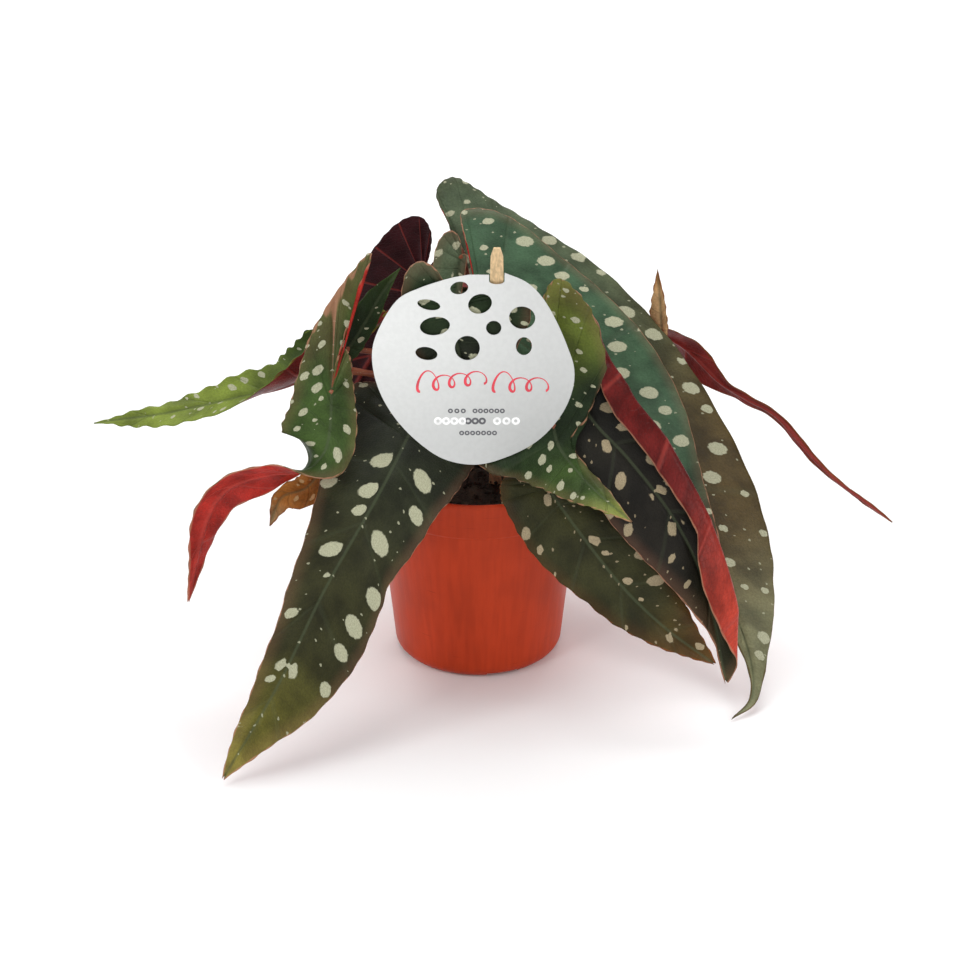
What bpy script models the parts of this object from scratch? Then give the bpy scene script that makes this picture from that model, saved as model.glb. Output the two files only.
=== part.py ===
"""Potted polka dot begonia: plastic pot, soil, canes, petioles, leaf blades, hang card and its stick.

Frame: metres, +Z up, origin at the middle of the pot's underside. The front of the plant faces -Y.
"""
import math

import bmesh
import bpy
import numpy as np
from mathutils import Vector

MM = 0.001
GAP = 0.0003

# Pot
POT_HEIGHT = 0.115
POT_RIM_RADIUS = 0.060
POT_BASE_RADIUS = 0.0485
POT_BASE_FILLET = 0.008
POT_WALL = 0.0014
POT_FLOOR = 0.0042
POT_BAND_HEIGHT = 0.021
POT_BAND_STEP = 0.0008
NOTCH_SIZE = (0.019, 0.020, 0.0058)
NOTCH_FIRST_ANGLE = math.radians(18.0)
NOTCH_COUNT = 4
TURN_STEPS = 40

# Soil and what stands in it
SOIL_TOP = 0.1085
SOIL_MOUND = 0.0025
CANE_FOOT_DEPTH = 0.026
CANE_RADIUS = 0.0038
PETIOLE_RADIUS = 0.0015
PETIOLE_POINTS = 9

# Leaf blades
BLADE_THICKNESS = 0.0008
BLADE_ROWS = 12
BLADE_COLUMNS = 6
HALF_WIDTH_UNIT = 0.25
LATERAL_STEPS = 16

# Hang card and stick
CARD_CENTRE = (-0.0025, -0.079, 0.2032)
CARD_THICKNESS = 0.0006
STICK_TOP = Vector((0.0095, -0.0841, 0.2690))
STICK_FOOT = Vector((0.0095, -0.0101, 0.0800))
STICK_WIDTH = 0.0068
STICK_DEPTH = 0.0030
SLOT_WIDTH = 0.0078
SLOT_REACH = 0.0192

COLOURS = {
    "pot": (0.62, 0.035, 0.01), "soil": (0.02, 0.012, 0.008), "cane": (0.13, 0.06, 0.03),
    "petiole": (0.35, 0.09, 0.05), "dark": (0.03, 0.055, 0.02), "teal": (0.02, 0.07, 0.035),
    "green": (0.10, 0.16, 0.02), "red": (0.30, 0.01, 0.015), "orange": (0.45, 0.14, 0.02),
    "card": (0.75, 0.75, 0.76), "wood": (0.62, 0.42, 0.22),
}

# Half outlines of a blade as (along, across) in blade lengths, from the sinus round the lobe to the tip
WIDE = [(-0.03, 0.008), (-0.14, 0.03), (-0.25, 0.085), (-0.29, 0.17), (-0.22, 0.26), (-0.05, 0.315),
        (0.17, 0.325), (0.42, 0.285), (0.65, 0.195), (0.85, 0.085), (1.0, 0.003)]
NARROW = [(-0.02, 0.006), (-0.07, 0.02), (-0.12, 0.06), (-0.12, 0.115), (-0.05, 0.16), (0.07, 0.19),
          (0.22, 0.195), (0.43, 0.175), (0.65, 0.12), (0.85, 0.05), (1.0, 0.003)]
EAR = [(-0.04, 0.0), (-0.16, -0.03), (-0.31, -0.07), (-0.43, -0.105), (-0.33, -0.02), (-0.16, 0.075),
       (0.02, 0.12), (0.16, 0.15), (0.4, 0.09), (0.75, 0.06), (1.0, 0.003)]
TALL_EAR = [(-0.04, -0.01), (-0.33, 0.03), (-0.65, 0.08), (-0.88, 0.16), (-0.95, 0.29), (-0.70, 0.43),
            (-0.30, 0.46), (-0.04, 0.29), (0.16, 0.09), (0.6, 0.08), (1.0, 0.003)]
BROAD = [(-0.01, 0.01), (-0.06, 0.07), (-0.12, 0.13), (-0.19, 0.20), (-0.215, 0.26), (-0.10, 0.32),
         (0.12, 0.32), (0.36, 0.285), (0.62, 0.19), (0.84, 0.08), (1.0, 0.003)]
LONG = [(-0.01, 0.005), (-0.06, 0.035), (-0.11, 0.075), (-0.165, 0.13), (-0.15, 0.17), (-0.07, 0.19),
        (0.08, 0.185), (0.30, 0.185), (0.60, 0.13), (0.80, 0.088), (1.0, 0.003)]
# Where on the midrib each outline point's side vein starts
ROOTS = [0.0, 0.004, 0.008, 0.014, 0.024, 0.05, 0.13, 0.30, 0.52, 0.77, 0.99]

# Each blade: midrib in mm from the sinus to the tip, directions that the upper side faces along it,
# half outlines left and right of the midrib (seen from above, looking to the tip), their width and lobe
# factors, and the angle in degrees by which each half lifts off the blade's plane.
LEAVES = [
    dict(name="front_left", colour="dark",
         rib=[(-34, -46, 158), (-52, -82, 133), (-79, -116, 95), (-104, -141, 50), (-133, -158, 4)],
         faces=[(0, -0.7, 0.7), (0.1, -0.85, 0.45), (0.1, -0.8, 0.5)], left=NARROW, right=WIDE,
         left_width=(1.0, 0.75, 0.72, 1.15, 1.4, 1.2), right_width=(0.65, 0.5, 0.35, 0.3, 0.4, 0.7),
         left_lobe=0.5, right_lobe=0.3, left_lift=(-10, -15, -10), right_lift=(-10, -15, -10)),
    dict(name="left_curled", colour="green",
         rib=[(-77, -62, 184), (-78, -70, 164), (-82, -76, 152), (-93, -78, 144), (-111, -76, 141),
              (-134, -74, 131), (-147, -72, 108), (-159, -70, 62)],
         faces=[(0.1, -0.8, 0.5), (0.1, -0.7, 0.6), (0, 0.5, 0.8), (-0.2, 0.9, 0.3), (-0.4, 0.8, 0.3),
                (-0.5, 0.8, 0.2), (-0.5, 0.7, 0.2)],
         left=NARROW, right=EAR, left_width=(0.4, 0.45, 0.3, 0.4, 0.5, 0.5),
         left_lift=(-5, 0, 10), right_lift=(-5, 0, 10)),
    dict(name="far_left", colour="green",
         rib=[(-79, -10, 181), (-103, -14, 167), (-134, -16, 160), (-172, -18, 152), (-212, -20, 147)],
         faces=[(0, 0.1, 1), (0, -0.3, 0.9), (0, -0.5, 0.9)], left=WIDE, right=NARROW,
         left_width=(0.5,), right_width=(0.9, 0.6, 0.5, 0.5, 0.5),
         left_lift=(80, 50, 10, 0), right_lift=(80, 50, 10, 0)),
    dict(name="small_left", colour="orange",
         rib=[(-83, -50, 135), (-93, -56, 124), (-106, -60, 120), (-113, -63, 104)],
         faces=[(0.2, -0.6, 0.7), (0.1, -0.8, 0.6)], left=WIDE, right=NARROW,
         left_width=(0.8,), right_width=(0.8,), left_lift=(10,), right_lift=(10,)),
    dict(name="upper_left", colour="red",
         rib=[(-30, 24, 219), (-44, 34, 190), (-61, 40, 163), (-75, 44, 134), (-81, 46, 107)],
         faces=[(0, 0.9, 0.3)], left=WIDE, right=NARROW, left_width=(0.8,), right_width=(0.9, 0.9, 0.9),
         left_lobe=0.9, right_lobe=1.1),
    dict(name="narrow_left", colour="green",
         rib=[(-70, -36, 195), (-59, -32, 212), (-51, -30, 226), (-41, -28, 239)],
         faces=[(0.3, -0.9, 0.3)], left=WIDE, right=NARROW, left_width=(0.6,), right_width=(0.6,)),
    dict(name="behind_card", colour="dark",
         rib=[(-14, -77, 239), (-11, -77, 215), (-4, -77, 190), (4, -77, 166)],
         faces=[(0, -1, 0)], left=WIDE, right=WIDE, left_width=(1.65, 1.6, 1.4, 1.0, 1.0),
         right_width=(1.05, 1.0, 1.0), left_lobe=0.1, right_lobe=1.02),
    dict(name="upper_middle", colour="teal",
         rib=[(-9, 3, 236), (-12, 0, 218), (-15, -5, 198), (-18, -10, 178)],
         faces=[(0, -0.9, 0.4)], left=NARROW, right=WIDE, left_width=(0.3,), right_width=(0.75,),
         left_lobe=0.1, right_lobe=0.7),
    dict(name="right_outer", colour="dark",
         rib=[(0, 14, 211), (43, 6, 182), (85, -8, 140), (120, -25, 93), (141, -46, 50), (152, -64, 21),
              (151, -82, 8), (139, -94, 1.8)],
         faces=[(0.1, -0.7, 0.7), (0.2, -0.8, 0.5), (0.2, -0.9, 0.3)], left=LONG, right=NARROW,
         left_width=(1, 1, 1, 1, 1, 1, 1, 1, 0.9, 0.5, 1.6),
         right_width=(0.32, 0.22, 0.4, 0.45, 0.4, 0.4, 1.6), right_lobe=0.3,
         left_lift=(-10,), right_lift=(-10,)),
    dict(name="upper_right", colour="teal",
         rib=[(0, -22, 212), (36, -34, 189), (76, -48, 157), (109, -58, 118), (132, -62, 88)],
         faces=[(0, -0.7, 0.7), (0.2, -0.8, 0.6), (0.2, -0.9, 0.4)], left=BROAD, right=NARROW,
         right_width=(0.3, 0.35, 0.7, 0.7), right_lobe=0.4, left_lift=(-10,), right_lift=(-10,)),
    dict(name="right_rolled", colour="dark",
         rib=[(37, -46, 201), (59, -64, 169), (80, -79, 150), (104, -93, 121), (120, -106, 88),
              (132, -116, 37)],
         faces=[(0, -0.8, 0.5), (0, -0.8, 0.5), (0.3, -0.8, 0.4)], left=WIDE, right=NARROW,
         left_width=(0.45, 0.66, 0.64, 0.62, 1.35, 1.8),
         right_width=(0.22, 0.3, 0.4, 0.6, 0.75, 0.85, 0.88, 0.85, 0.7, 0.25, 0.5),
         left_lobe=0.35, right_lobe=0.4, roll_start=(0.4, 0.45, 0.36, 0.24, 0.2, 0.06), roll_reach=0.16,
         roll=(60, 170, 170, 170, 170, 170, 170, 170, 170)),
    dict(name="front_right", colour="dark",
         rib=[(33, -72, 137), (50, -88, 118), (75, -104, 90), (98, -114, 70), (125, -120, 51)],
         faces=[(-0.1, -0.8, 0.6)], left=NARROW, right=WIDE, left_width=(0.8, 0.95, 1.1, 1.2, 1.6, 1.8),
         right_width=(0.55, 0.62, 0.55, 0.6, 0.7), right_lobe=0.3),
    dict(name="centre_right", colour="green",
         rib=[(39, -72, 169), (43, -78, 157), (55, -99, 149), (67, -117, 144), (78, -128, 139)],
         faces=[(0, -0.8, 0.6), (0, -0.4, 0.9), (0, -0.4, 0.9)], left=TALL_EAR, right=WIDE,
         right_width=(2.5, 1.15, 0.9, 0.85, 0.9, 1.0), right_lobe=0.4, lobe_bend=13,
         right_lift=(-9, -9, 0)),
    dict(name="far_right", colour="red",
         rib=[(101, 70, 167), (120, 58, 161), (139, 47, 145), (154, 37, 138), (174, 32, 127),
              (202, 26, 97), (242, 20, 67)],
         faces=[(0, 0.8, 0.6)], left=WIDE, right=NARROW,
         left_width=(0.3, 0.26, 0.12, 0.08, 0.1, 0.1, 0.5),
         right_width=(0.4, 0.3, 0.12, 0.1, 0.1, 0.1, 0.5)),
    dict(name="young_right", colour="orange",
         rib=[(105, 42, 175), (103, 42, 196), (101, 42, 214)],
         faces=[(-0.3, -0.9, 0.1)], left=WIDE, right=NARROW, left_width=(0.5,), right_width=(0.5,),
         left_lobe=0.3, right_lobe=0.3),
    dict(name="back", colour="dark",
         rib=[(4, 62, 205), (8, 92, 190), (11, 124, 156), (12, 140, 112)],
         faces=[(0, 0.3, 0.9), (0, 0.8, 0.5)], left=WIDE, right=NARROW, left_lobe=0.5, right_lobe=0.5,
         left_lift=(-15,), right_lift=(-15,)),
    dict(name="back_left", colour="dark",
         rib=[(-34, 52, 190), (-58, 82, 170), (-70, 104, 130), (-70, 112, 90)],
         faces=[(-0.3, 0.4, 0.9), (-0.3, 0.9, 0.3)], left=NARROW, right=WIDE, left_width=(0.6,),
         right_width=(0.6,), left_lobe=0.5, right_lobe=0.5, left_lift=(-15,), right_lift=(-15,)),
    dict(name="back_right", colour="teal",
         rib=[(48, 60, 184), (66, 90, 166), (76, 112, 130), (78, 118, 92)],
         faces=[(0.3, 0.4, 0.9), (0.3, 0.9, 0.3)], left=WIDE, right=NARROW, left_width=(0.6,),
         right_width=(0.6,), left_lobe=0.5, right_lobe=0.5, left_lift=(-15,), right_lift=(-15,)),
]

# Canes as centre lines in mm, from the soil up
CANES = {
    "cane_left": [(-14, -6, 112), (-18, -7, 140), (-25, -4, 165), (-31, 2, 190)],
    "cane_right": [(14, 0, 112), (18, 2, 135), (19, 3, 155), (18, 3, 172)],
    "cane_back": [(2, 24, 112), (5, 30, 140), (10, 36, 165), (14, 40, 190)],
}

# Petiole of each leaf: its cane, the height on it in mm, and route points in mm between cane and blade
PETIOLES = {
    "front_left": ("cane_left", 124, [(-28, -26, 138)]),
    "left_curled": ("cane_left", 154, [(-50, -22, 174), (-70, -44, 186)]),
    "far_left": ("cane_left", 166, [(-52, -8, 170)]),
    "small_left": ("cane_left", 116, [(-44, -22, 122), (-68, -38, 126)]),
    "upper_left": ("cane_left", 172, [(-44, 12, 180)]),
    "narrow_left": ("cane_left", 178, [(-54, -14, 186)]),
    "behind_card": ("cane_left", 182, [(-34, -16, 196), (-26, -48, 224)]),
    "upper_middle": ("cane_right", 167, [(10, -1, 184), (-1, 2, 204)]),
    "right_outer": ("cane_back", 186, [(6, 30, 200)]),
    "upper_right": ("cane_right", 164, [(10, -12, 180)]),
    "right_rolled": ("cane_right", 146, [(28, -34, 152), (35, -50, 167), (37, -47, 187)]),
    "front_right": ("cane_right", 118, [(24, -30, 126), (30, -54, 132)]),
    "centre_right": ("cane_right", 132, [(26, -32, 142), (34, -58, 160)]),
    "far_right": ("cane_back", 148, [(44, 44, 156), (82, 60, 160)]),
    "young_right": ("cane_back", 136, [(50, 34, 142), (92, 44, 156)]),
    "back": ("cane_back", 176, [(10, 52, 184)]),
    "back_left": ("cane_back", 164, [(-14, 42, 176)]),
    "back_right": ("cane_back", 170, [(32, 46, 174)]),
}

# Card outline in mm from its centre, clockwise from beside the slot, and its oval holes
CARD_OUTLINE = [(16, 51), (27, 46), (35, 38), (42, 26), (48, 12), (52, -1), (51, -14), (45, -28), (34, -41),
                (19, -50), (2, -55), (-15, -52), (-29, -42), (-41, -28), (-49, -12), (-52, 5), (-49, 19),
                (-39, 36), (-27, 43), (-12, 48), (-2, 50)]
# Holes: centre x, z, half width, half height in mm, tilt in degrees
CARD_HOLES = [(-7, 43, 4.6, 3.4, 12), (-22.5, 34, 5.9, 2.8, -12), (3.5, 34.5, 6.2, 5.2, 25),
              (25, 27, 6.7, 6.1, -15), (-19.5, 22.5, 7.7, 5.0, 8), (10.5, 21.5, 3.9, 3.9, 0),
              (-3, 10.5, 6.4, 6.7, 0), (26, 11.5, 4.1, 5.0, 0), (-24, 7.5, 5.7, 3.6, -10)]


def clear_scene():
    for item in list(bpy.data.objects):
        bpy.data.objects.remove(item, do_unlink=True)


def collection(name):
    made = bpy.data.collections.new(name)
    bpy.context.scene.collection.children.link(made)
    return made


def material(name, colour, roughness):
    made = bpy.data.materials.new(name)
    made.use_nodes = True
    shader = made.node_tree.nodes["Principled BSDF"]
    shader.inputs["Base Color"].default_value = (*colour, 1.0)
    shader.inputs["Roughness"].default_value = roughness
    made.diffuse_color = (*colour, 1.0)
    return made


def finish(item, home, colour, roughness=0.5):
    for old in list(item.users_collection):
        old.objects.unlink(item)
    home.objects.link(item)
    item.data.materials.clear()
    item.data.materials.append(material(item.name, COLOURS[colour], roughness))
    return item


def cutter(item, home):
    for old in list(item.users_collection):
        old.objects.unlink(item)
    home.objects.link(item)
    item.hide_render = True
    item.display_type = "WIRE"
    return item


def cut(item, tool):
    modifier = item.modifiers.new("cut_" + tool.name, "BOOLEAN")
    modifier.operation = "DIFFERENCE"
    modifier.solver = "EXACT"
    modifier.object = tool


def turned(name, profile, home, colour, roughness):
    """Turn a profile of (radius, height) points that ends on the axis into a solid."""
    mesh = bpy.data.meshes.new(name)
    mesh.from_pydata([(r, 0.0, z) for r, z in profile], [(i, i + 1) for i in range(len(profile) - 1)], [])
    item = bpy.data.objects.new(name, mesh)
    home.objects.link(item)
    screw = item.modifiers.new("turn", "SCREW")
    screw.steps = TURN_STEPS
    screw.render_steps = TURN_STEPS
    screw.use_merge_vertices = True
    screw.merge_threshold = 0.0001
    screw.use_normal_calculate = True
    return finish(item, home, colour, roughness)


def catmull(points, places):
    """Smooth curve through the points, read at places counted in points."""
    known = np.asarray(points, float)
    if known.ndim == 1:
        known = known[:, None]
    ends = np.vstack([2 * known[0] - known[1], known, 2 * known[-1] - known[-2]])
    first = np.clip(np.floor(places).astype(int), 0, len(known) - 2)
    t = (places - first)[:, None]
    a, b, c, d = ends[first], ends[first + 1], ends[first + 2], ends[first + 3]
    return 0.5 * (2 * b + (c - a) * t + (2 * a - 5 * b + 4 * c - d) * t**2 + (3 * b - a - 3 * c + d) * t**3)


def unit(vectors):
    return vectors / np.maximum(np.linalg.norm(vectors, axis=-1, keepdims=True), 1e-12)


def along(values, u):
    """Read a list of factors, spread evenly from sinus to tip, at u."""
    if len(values) == 1:
        return np.full(np.shape(u), float(values[0]))
    return np.interp(np.clip(u, 0, 1), np.linspace(0, 1, len(values)), values)


class Blade:
    """A leaf blade's surface: flat outline, curved midrib, and how its halves lift, bend and roll."""

    def __init__(self, leaf):
        self.leaf = leaf
        rib = np.array(leaf["rib"], float) * MM
        self.line = catmull(rib, np.linspace(0, len(rib) - 1, 201))
        steps = np.linalg.norm(np.diff(self.line, axis=0), axis=1)
        self.length = steps.sum()
        self.place = np.concatenate([[0], np.cumsum(steps)]) / self.length
        self.heading = unit(np.gradient(self.line, axis=0))

    def read(self, table, u):
        return np.stack([np.interp(u, self.place, table[:, k]) for k in range(3)], -1)

    def frame(self, u):
        """Midrib point, direction to the tip, normal and leftward direction at u."""
        inside = np.clip(u, 0, 1)
        centre = self.read(self.line, inside)
        tangent = unit(self.read(self.heading, inside))
        faces = np.array(self.leaf["faces"], float)
        aim = np.repeat(faces[:1], len(u), 0)
        if len(faces) > 1:
            aim = catmull(faces, inside * (len(faces) - 1))
        normal = unit(aim - np.sum(aim * tangent, -1, keepdims=True) * tangent)
        back = np.maximum(-u, 0)[:, None]
        bend = math.radians(self.leaf.get("lobe_bend", 0)) / 0.3 + 1e-6
        angle = bend * back
        centre = centre + self.length * (normal * (1 - np.cos(angle)) - tangent * np.sin(angle)) / bend
        tilted = tangent * np.cos(angle) - normal * np.sin(angle)
        normal = normal * np.cos(angle) + tangent * np.sin(angle)
        return centre, tilted, normal, np.cross(normal, tilted)

    def half(self, side, s, t):
        """Flat place of row s (0 to 1) and side fraction t (0 to 1) on one half."""
        places = s * (len(ROOTS) - 1)
        outline = catmull(self.leaf[side], places)
        roots = catmull(ROOTS, places)[:, 0]
        across = outline[:, 1] * along(self.leaf.get(side + "_width", (1.0,)), outline[:, 0])
        lobe = self.leaf.get(side + "_lobe", 1.0)
        edge = np.where(outline[:, 0] < 0, outline[:, 0] * lobe, outline[:, 0])
        return roots + (edge - roots) * t, across * t

    def surface(self, s, t):
        """Points of the blade for rows s (0 to 1) and columns t (-1 right edge to 1 left edge)."""
        left_u, left_v = self.half("left", s, np.abs(t))
        right_u, right_v = self.half("right", s, np.abs(t))
        u = np.where(t >= 0, left_u, right_u)
        v = np.where(t >= 0, left_v, right_v)
        outward = np.where(t >= 0, 1.0, -1.0) * np.where(v < 0, -1.0, 1.0)
        reach = np.abs(v) * self.length
        unit_width = HALF_WIDTH_UNIT * self.length
        centre, _, normal, leftward = self.frame(u)
        lift = np.where(t >= 0, along(self.leaf.get("left_lift", (0,)), u),
                        along(self.leaf.get("right_lift", (0,)), u))
        lateral = np.zeros(len(u))
        height = np.zeros(len(u))
        for step in range(LATERAL_STEPS):
            x = (step + 0.5) / LATERAL_STEPS * reach / unit_width
            angle = np.radians(lift) * (0.4 + x)
            if "roll" in self.leaf:
                start = along(self.leaf["roll_start"], u)
                share = np.clip((x - start) / self.leaf["roll_reach"], 0, 1)
                angle = angle + np.where(t > 0, np.radians(along(self.leaf["roll"], u)) * share, 0)
            lateral += np.cos(angle) * reach / LATERAL_STEPS
            height += np.sin(angle) * reach / LATERAL_STEPS
        return centre + leftward * (outward * lateral)[:, None] + normal * height[:, None]


def make_blade(leaf, home):
    """A grid laid on the blade's surface and thickened."""
    bpy.ops.mesh.primitive_grid_add(x_subdivisions=BLADE_ROWS, y_subdivisions=BLADE_COLUMNS, size=2)
    item = bpy.context.object
    item.name = "leaf_" + leaf["name"]
    flat = np.array([tuple(v.co) for v in item.data.vertices])
    shaped = Blade(leaf).surface((flat[:, 0] + 1) / 2, flat[:, 1])
    item.data.vertices.foreach_set("co", shaped.ravel())
    item.data.update()
    thicken = item.modifiers.new("thickness", "SOLIDIFY")
    thicken.thickness = BLADE_THICKNESS
    thicken.offset = 0.0
    return finish(item, home, leaf["colour"], 0.45)


def make_tube(name, points, radius, home, colour, resolution=1):
    """A round bar with filled caps through points in metres."""
    curve = bpy.data.curves.new(name, "CURVE")
    curve.dimensions = "3D"
    curve.bevel_depth = radius
    curve.bevel_resolution = resolution
    curve.use_fill_caps = True
    spline = curve.splines.new("POLY")
    spline.points.add(len(points) - 1)
    for place, point in zip(spline.points, points):
        place.co = (*point, 1.0)
    item = bpy.data.objects.new(name, curve)
    home.objects.link(item)
    return finish(item, home, colour, 0.6)


def make_pot(home, tools):
    """Thin pot with a rim band, a rounded base edge and drainage notches in its standing edge."""
    centre = (POT_BASE_RADIUS - POT_BASE_FILLET, POT_BASE_FILLET)
    band_foot = POT_HEIGHT - POT_BAND_HEIGHT
    taper = (POT_RIM_RADIUS - POT_BASE_RADIUS) / (POT_HEIGHT - POT_BASE_FILLET)
    wall_top = POT_RIM_RADIUS - taper * POT_BAND_HEIGHT - POT_BAND_STEP
    inner_foot = POT_BASE_RADIUS - POT_WALL
    inside = [(0.0, POT_FLOOR), (inner_foot - 0.006, POT_FLOOR), (inner_foot, POT_FLOOR + 0.006),
              (wall_top - POT_WALL, band_foot), (POT_RIM_RADIUS - POT_WALL - 0.0008, POT_HEIGHT)]
    outside = [(POT_RIM_RADIUS, POT_HEIGHT), (wall_top + POT_BAND_STEP, band_foot),
               (wall_top, band_foot - 0.001)]
    fillet = [(centre[0] + POT_BASE_FILLET * math.cos(a), centre[1] - POT_BASE_FILLET * math.sin(a))
              for a in np.linspace(0, math.pi / 2, 5)]
    pot = turned("pot", inside + outside + fillet + [(0.0, 0.0)], home, "pot", 0.4)
    for number in range(NOTCH_COUNT):
        angle = NOTCH_FIRST_ANGLE + number * 2 * math.pi / NOTCH_COUNT - math.pi / 2
        bpy.ops.mesh.primitive_cube_add(size=1.0, rotation=(0, 0, angle),
                                        location=(POT_BASE_RADIUS * math.cos(angle),
                                                  POT_BASE_RADIUS * math.sin(angle), 0.0))
        tool = bpy.context.object
        tool.name = f"notch_{number}"
        tool.scale = (NOTCH_SIZE[1], NOTCH_SIZE[0], NOTCH_SIZE[2])
        cut(pot, cutter(tool, tools))
    return wall_top, band_foot, inner_foot


def make_soil(home, tools, wall_top, band_foot, inner_foot):
    """Soil filling the pot, with holes for the canes and the stick."""
    side = POT_WALL + GAP
    rim = POT_RIM_RADIUS - side - 0.0016
    profile = [(0.0, SOIL_TOP + SOIL_MOUND), (0.030, SOIL_TOP + SOIL_MOUND * 0.7), (rim - 0.002, SOIL_TOP),
               (rim - 0.0012, SOIL_TOP - 0.003), (wall_top - side, band_foot - 0.001),
               (inner_foot - GAP * 1.5, POT_FLOOR + 0.0063), (inner_foot - 0.0064, POT_FLOOR + GAP),
               (0.0, POT_FLOOR + GAP)]
    soil = turned("soil", profile, home, "soil", 0.95)
    for name, route in CANES.items():
        foot = route[0]
        bpy.ops.mesh.primitive_cylinder_add(vertices=16, radius=CANE_RADIUS + 2 * GAP,
                                            depth=2 * CANE_FOOT_DEPTH,
                                            location=(foot[0] * MM, foot[1] * MM, foot[2] * MM))
        tool = bpy.context.object
        tool.name = "hole_" + name
        cut(soil, cutter(tool, tools))
    cut(soil, cutter(stick_solid("hole_stick", STICK_FOOT - stick_direction() * GAP, 2 * GAP), tools))


def stick_direction():
    return (STICK_TOP - STICK_FOOT).normalized()


def stick_solid(name, foot, margin):
    """A leaning flat stick with a tapered top."""
    length = (STICK_TOP - foot).length
    bpy.ops.mesh.primitive_cube_add(size=1.0, location=(foot + STICK_TOP) / 2,
                                    rotation=stick_direction().to_track_quat("Z", "Y").to_euler())
    item = bpy.context.object
    item.name = name
    item.scale = (STICK_WIDTH + margin, STICK_DEPTH + margin, length)
    return item


def make_stick(home):
    item = stick_solid("card_stick", STICK_FOOT, 0.0)
    bpy.ops.object.transform_apply(location=False, rotation=False, scale=True)
    for vertex in item.data.vertices:
        if vertex.co.z > 0:
            vertex.co.x *= 0.8
    bevel = item.modifiers.new("edges", "BEVEL")
    bevel.width = 0.0007
    bevel.segments = 2
    return finish(item, home, "wood", 0.6)


def make_card(home):
    """Round card with oval holes and an open slot at its top edge that holds the stick."""
    curve = bpy.data.curves.new("hang_card", "CURVE")
    curve.dimensions = "2D"
    curve.fill_mode = "BOTH"
    curve.extrude = CARD_THICKNESS / 2
    slot_x = STICK_TOP.x - CARD_CENTRE[0]
    slot_foot = STICK_TOP.z - SLOT_REACH - CARD_CENTRE[2]
    edge = np.array(CARD_OUTLINE, float)
    steps = np.linspace(0, len(edge) - 1, 2 * len(edge) - 1)
    outline = [tuple(p * MM) for p in catmull(edge, steps)]
    outline += [(slot_x - SLOT_WIDTH / 2, outline[-1][1]), (slot_x - SLOT_WIDTH / 2, slot_foot),
                (slot_x + SLOT_WIDTH / 2, slot_foot), (slot_x + SLOT_WIDTH / 2, outline[0][1])]
    loops = [outline]
    for x, z, wide, high, tilt in CARD_HOLES:
        turn = math.radians(tilt)
        loops.append([((x + wide * math.cos(a) * math.cos(turn) - high * math.sin(a) * math.sin(turn)) * MM,
                       (z + wide * math.cos(a) * math.sin(turn) + high * math.sin(a) * math.cos(turn)) * MM)
                      for a in np.linspace(0, 2 * math.pi, 14, endpoint=False)])
    for loop in loops:
        spline = curve.splines.new("POLY")
        spline.points.add(len(loop) - 1)
        spline.use_cyclic_u = True
        for place, point in zip(spline.points, loop):
            place.co = (*point, 0.0, 1.0)
    item = bpy.data.objects.new("hang_card", curve)
    home.objects.link(item)
    item.location = CARD_CENTRE
    item.rotation_euler = (math.pi / 2, 0, 0)
    return finish(item, home, "card", 0.35)


def cane_line(name):
    """Smooth centre line of a cane in metres, with its foot straight down in the soil."""
    route = np.array(CANES[name], float) * MM
    line = catmull(route, np.linspace(0, len(route) - 1, 10))
    foot = line[0] - np.array([0, 0, CANE_FOOT_DEPTH - GAP])
    return np.vstack([foot, line])


def petiole_line(leaf):
    """Smooth line from beside the cane to just behind the blade's sinus."""
    cane, height, middle = PETIOLES[leaf["name"]]
    line = cane_line(cane)
    start = np.array([np.interp(height * MM, line[:, 2], line[:, k]) for k in range(3)])
    sinus, _, normal, _ = Blade(leaf).frame(np.array([0.02]))
    end = sinus[0] - normal[0] * (BLADE_THICKNESS / 2 + 2 * GAP)
    before = sinus[0] - normal[0] * 0.006
    route = [start] + [np.array(p, float) * MM for p in middle] + [before]
    leaving = unit(route[1] - start)
    route[0] = start + leaving * (CANE_RADIUS + PETIOLE_RADIUS + 3 * GAP)
    smooth = catmull(np.array(route), np.linspace(0, len(route) - 1, PETIOLE_POINTS))
    return np.vstack([smooth, end])


def build():
    clear_scene()
    parts = collection("polka_dot_begonia")
    tools = collection("cutters")
    inner = make_pot(parts, tools)
    make_soil(parts, tools, *inner)
    for name in CANES:
        make_tube(name, cane_line(name), CANE_RADIUS, parts, "cane", 2)
    for leaf in LEAVES:
        make_blade(leaf, parts)
        make_tube("petiole_" + leaf["name"], petiole_line(leaf), PETIOLE_RADIUS, parts, "petiole")
    make_card(parts)
    make_stick(parts)


build()
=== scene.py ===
"""Spotted begonia in a nursery pot: the visual model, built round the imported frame."""

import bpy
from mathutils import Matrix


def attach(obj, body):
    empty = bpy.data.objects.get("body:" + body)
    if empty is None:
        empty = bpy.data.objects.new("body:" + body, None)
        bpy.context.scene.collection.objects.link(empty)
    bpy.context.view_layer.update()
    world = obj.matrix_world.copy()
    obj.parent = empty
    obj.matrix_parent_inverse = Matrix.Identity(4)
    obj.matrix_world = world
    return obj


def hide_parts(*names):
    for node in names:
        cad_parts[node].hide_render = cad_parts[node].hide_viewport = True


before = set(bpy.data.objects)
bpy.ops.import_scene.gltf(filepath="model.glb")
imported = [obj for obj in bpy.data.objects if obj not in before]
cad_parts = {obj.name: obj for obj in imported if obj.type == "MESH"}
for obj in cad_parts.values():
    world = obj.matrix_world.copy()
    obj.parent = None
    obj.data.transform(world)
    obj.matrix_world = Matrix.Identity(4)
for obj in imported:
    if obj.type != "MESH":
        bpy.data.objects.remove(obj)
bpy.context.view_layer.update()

import math
import random

import bmesh
import bpy
import numpy as np
from mathutils import Euler, Matrix, Vector, noise

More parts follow.
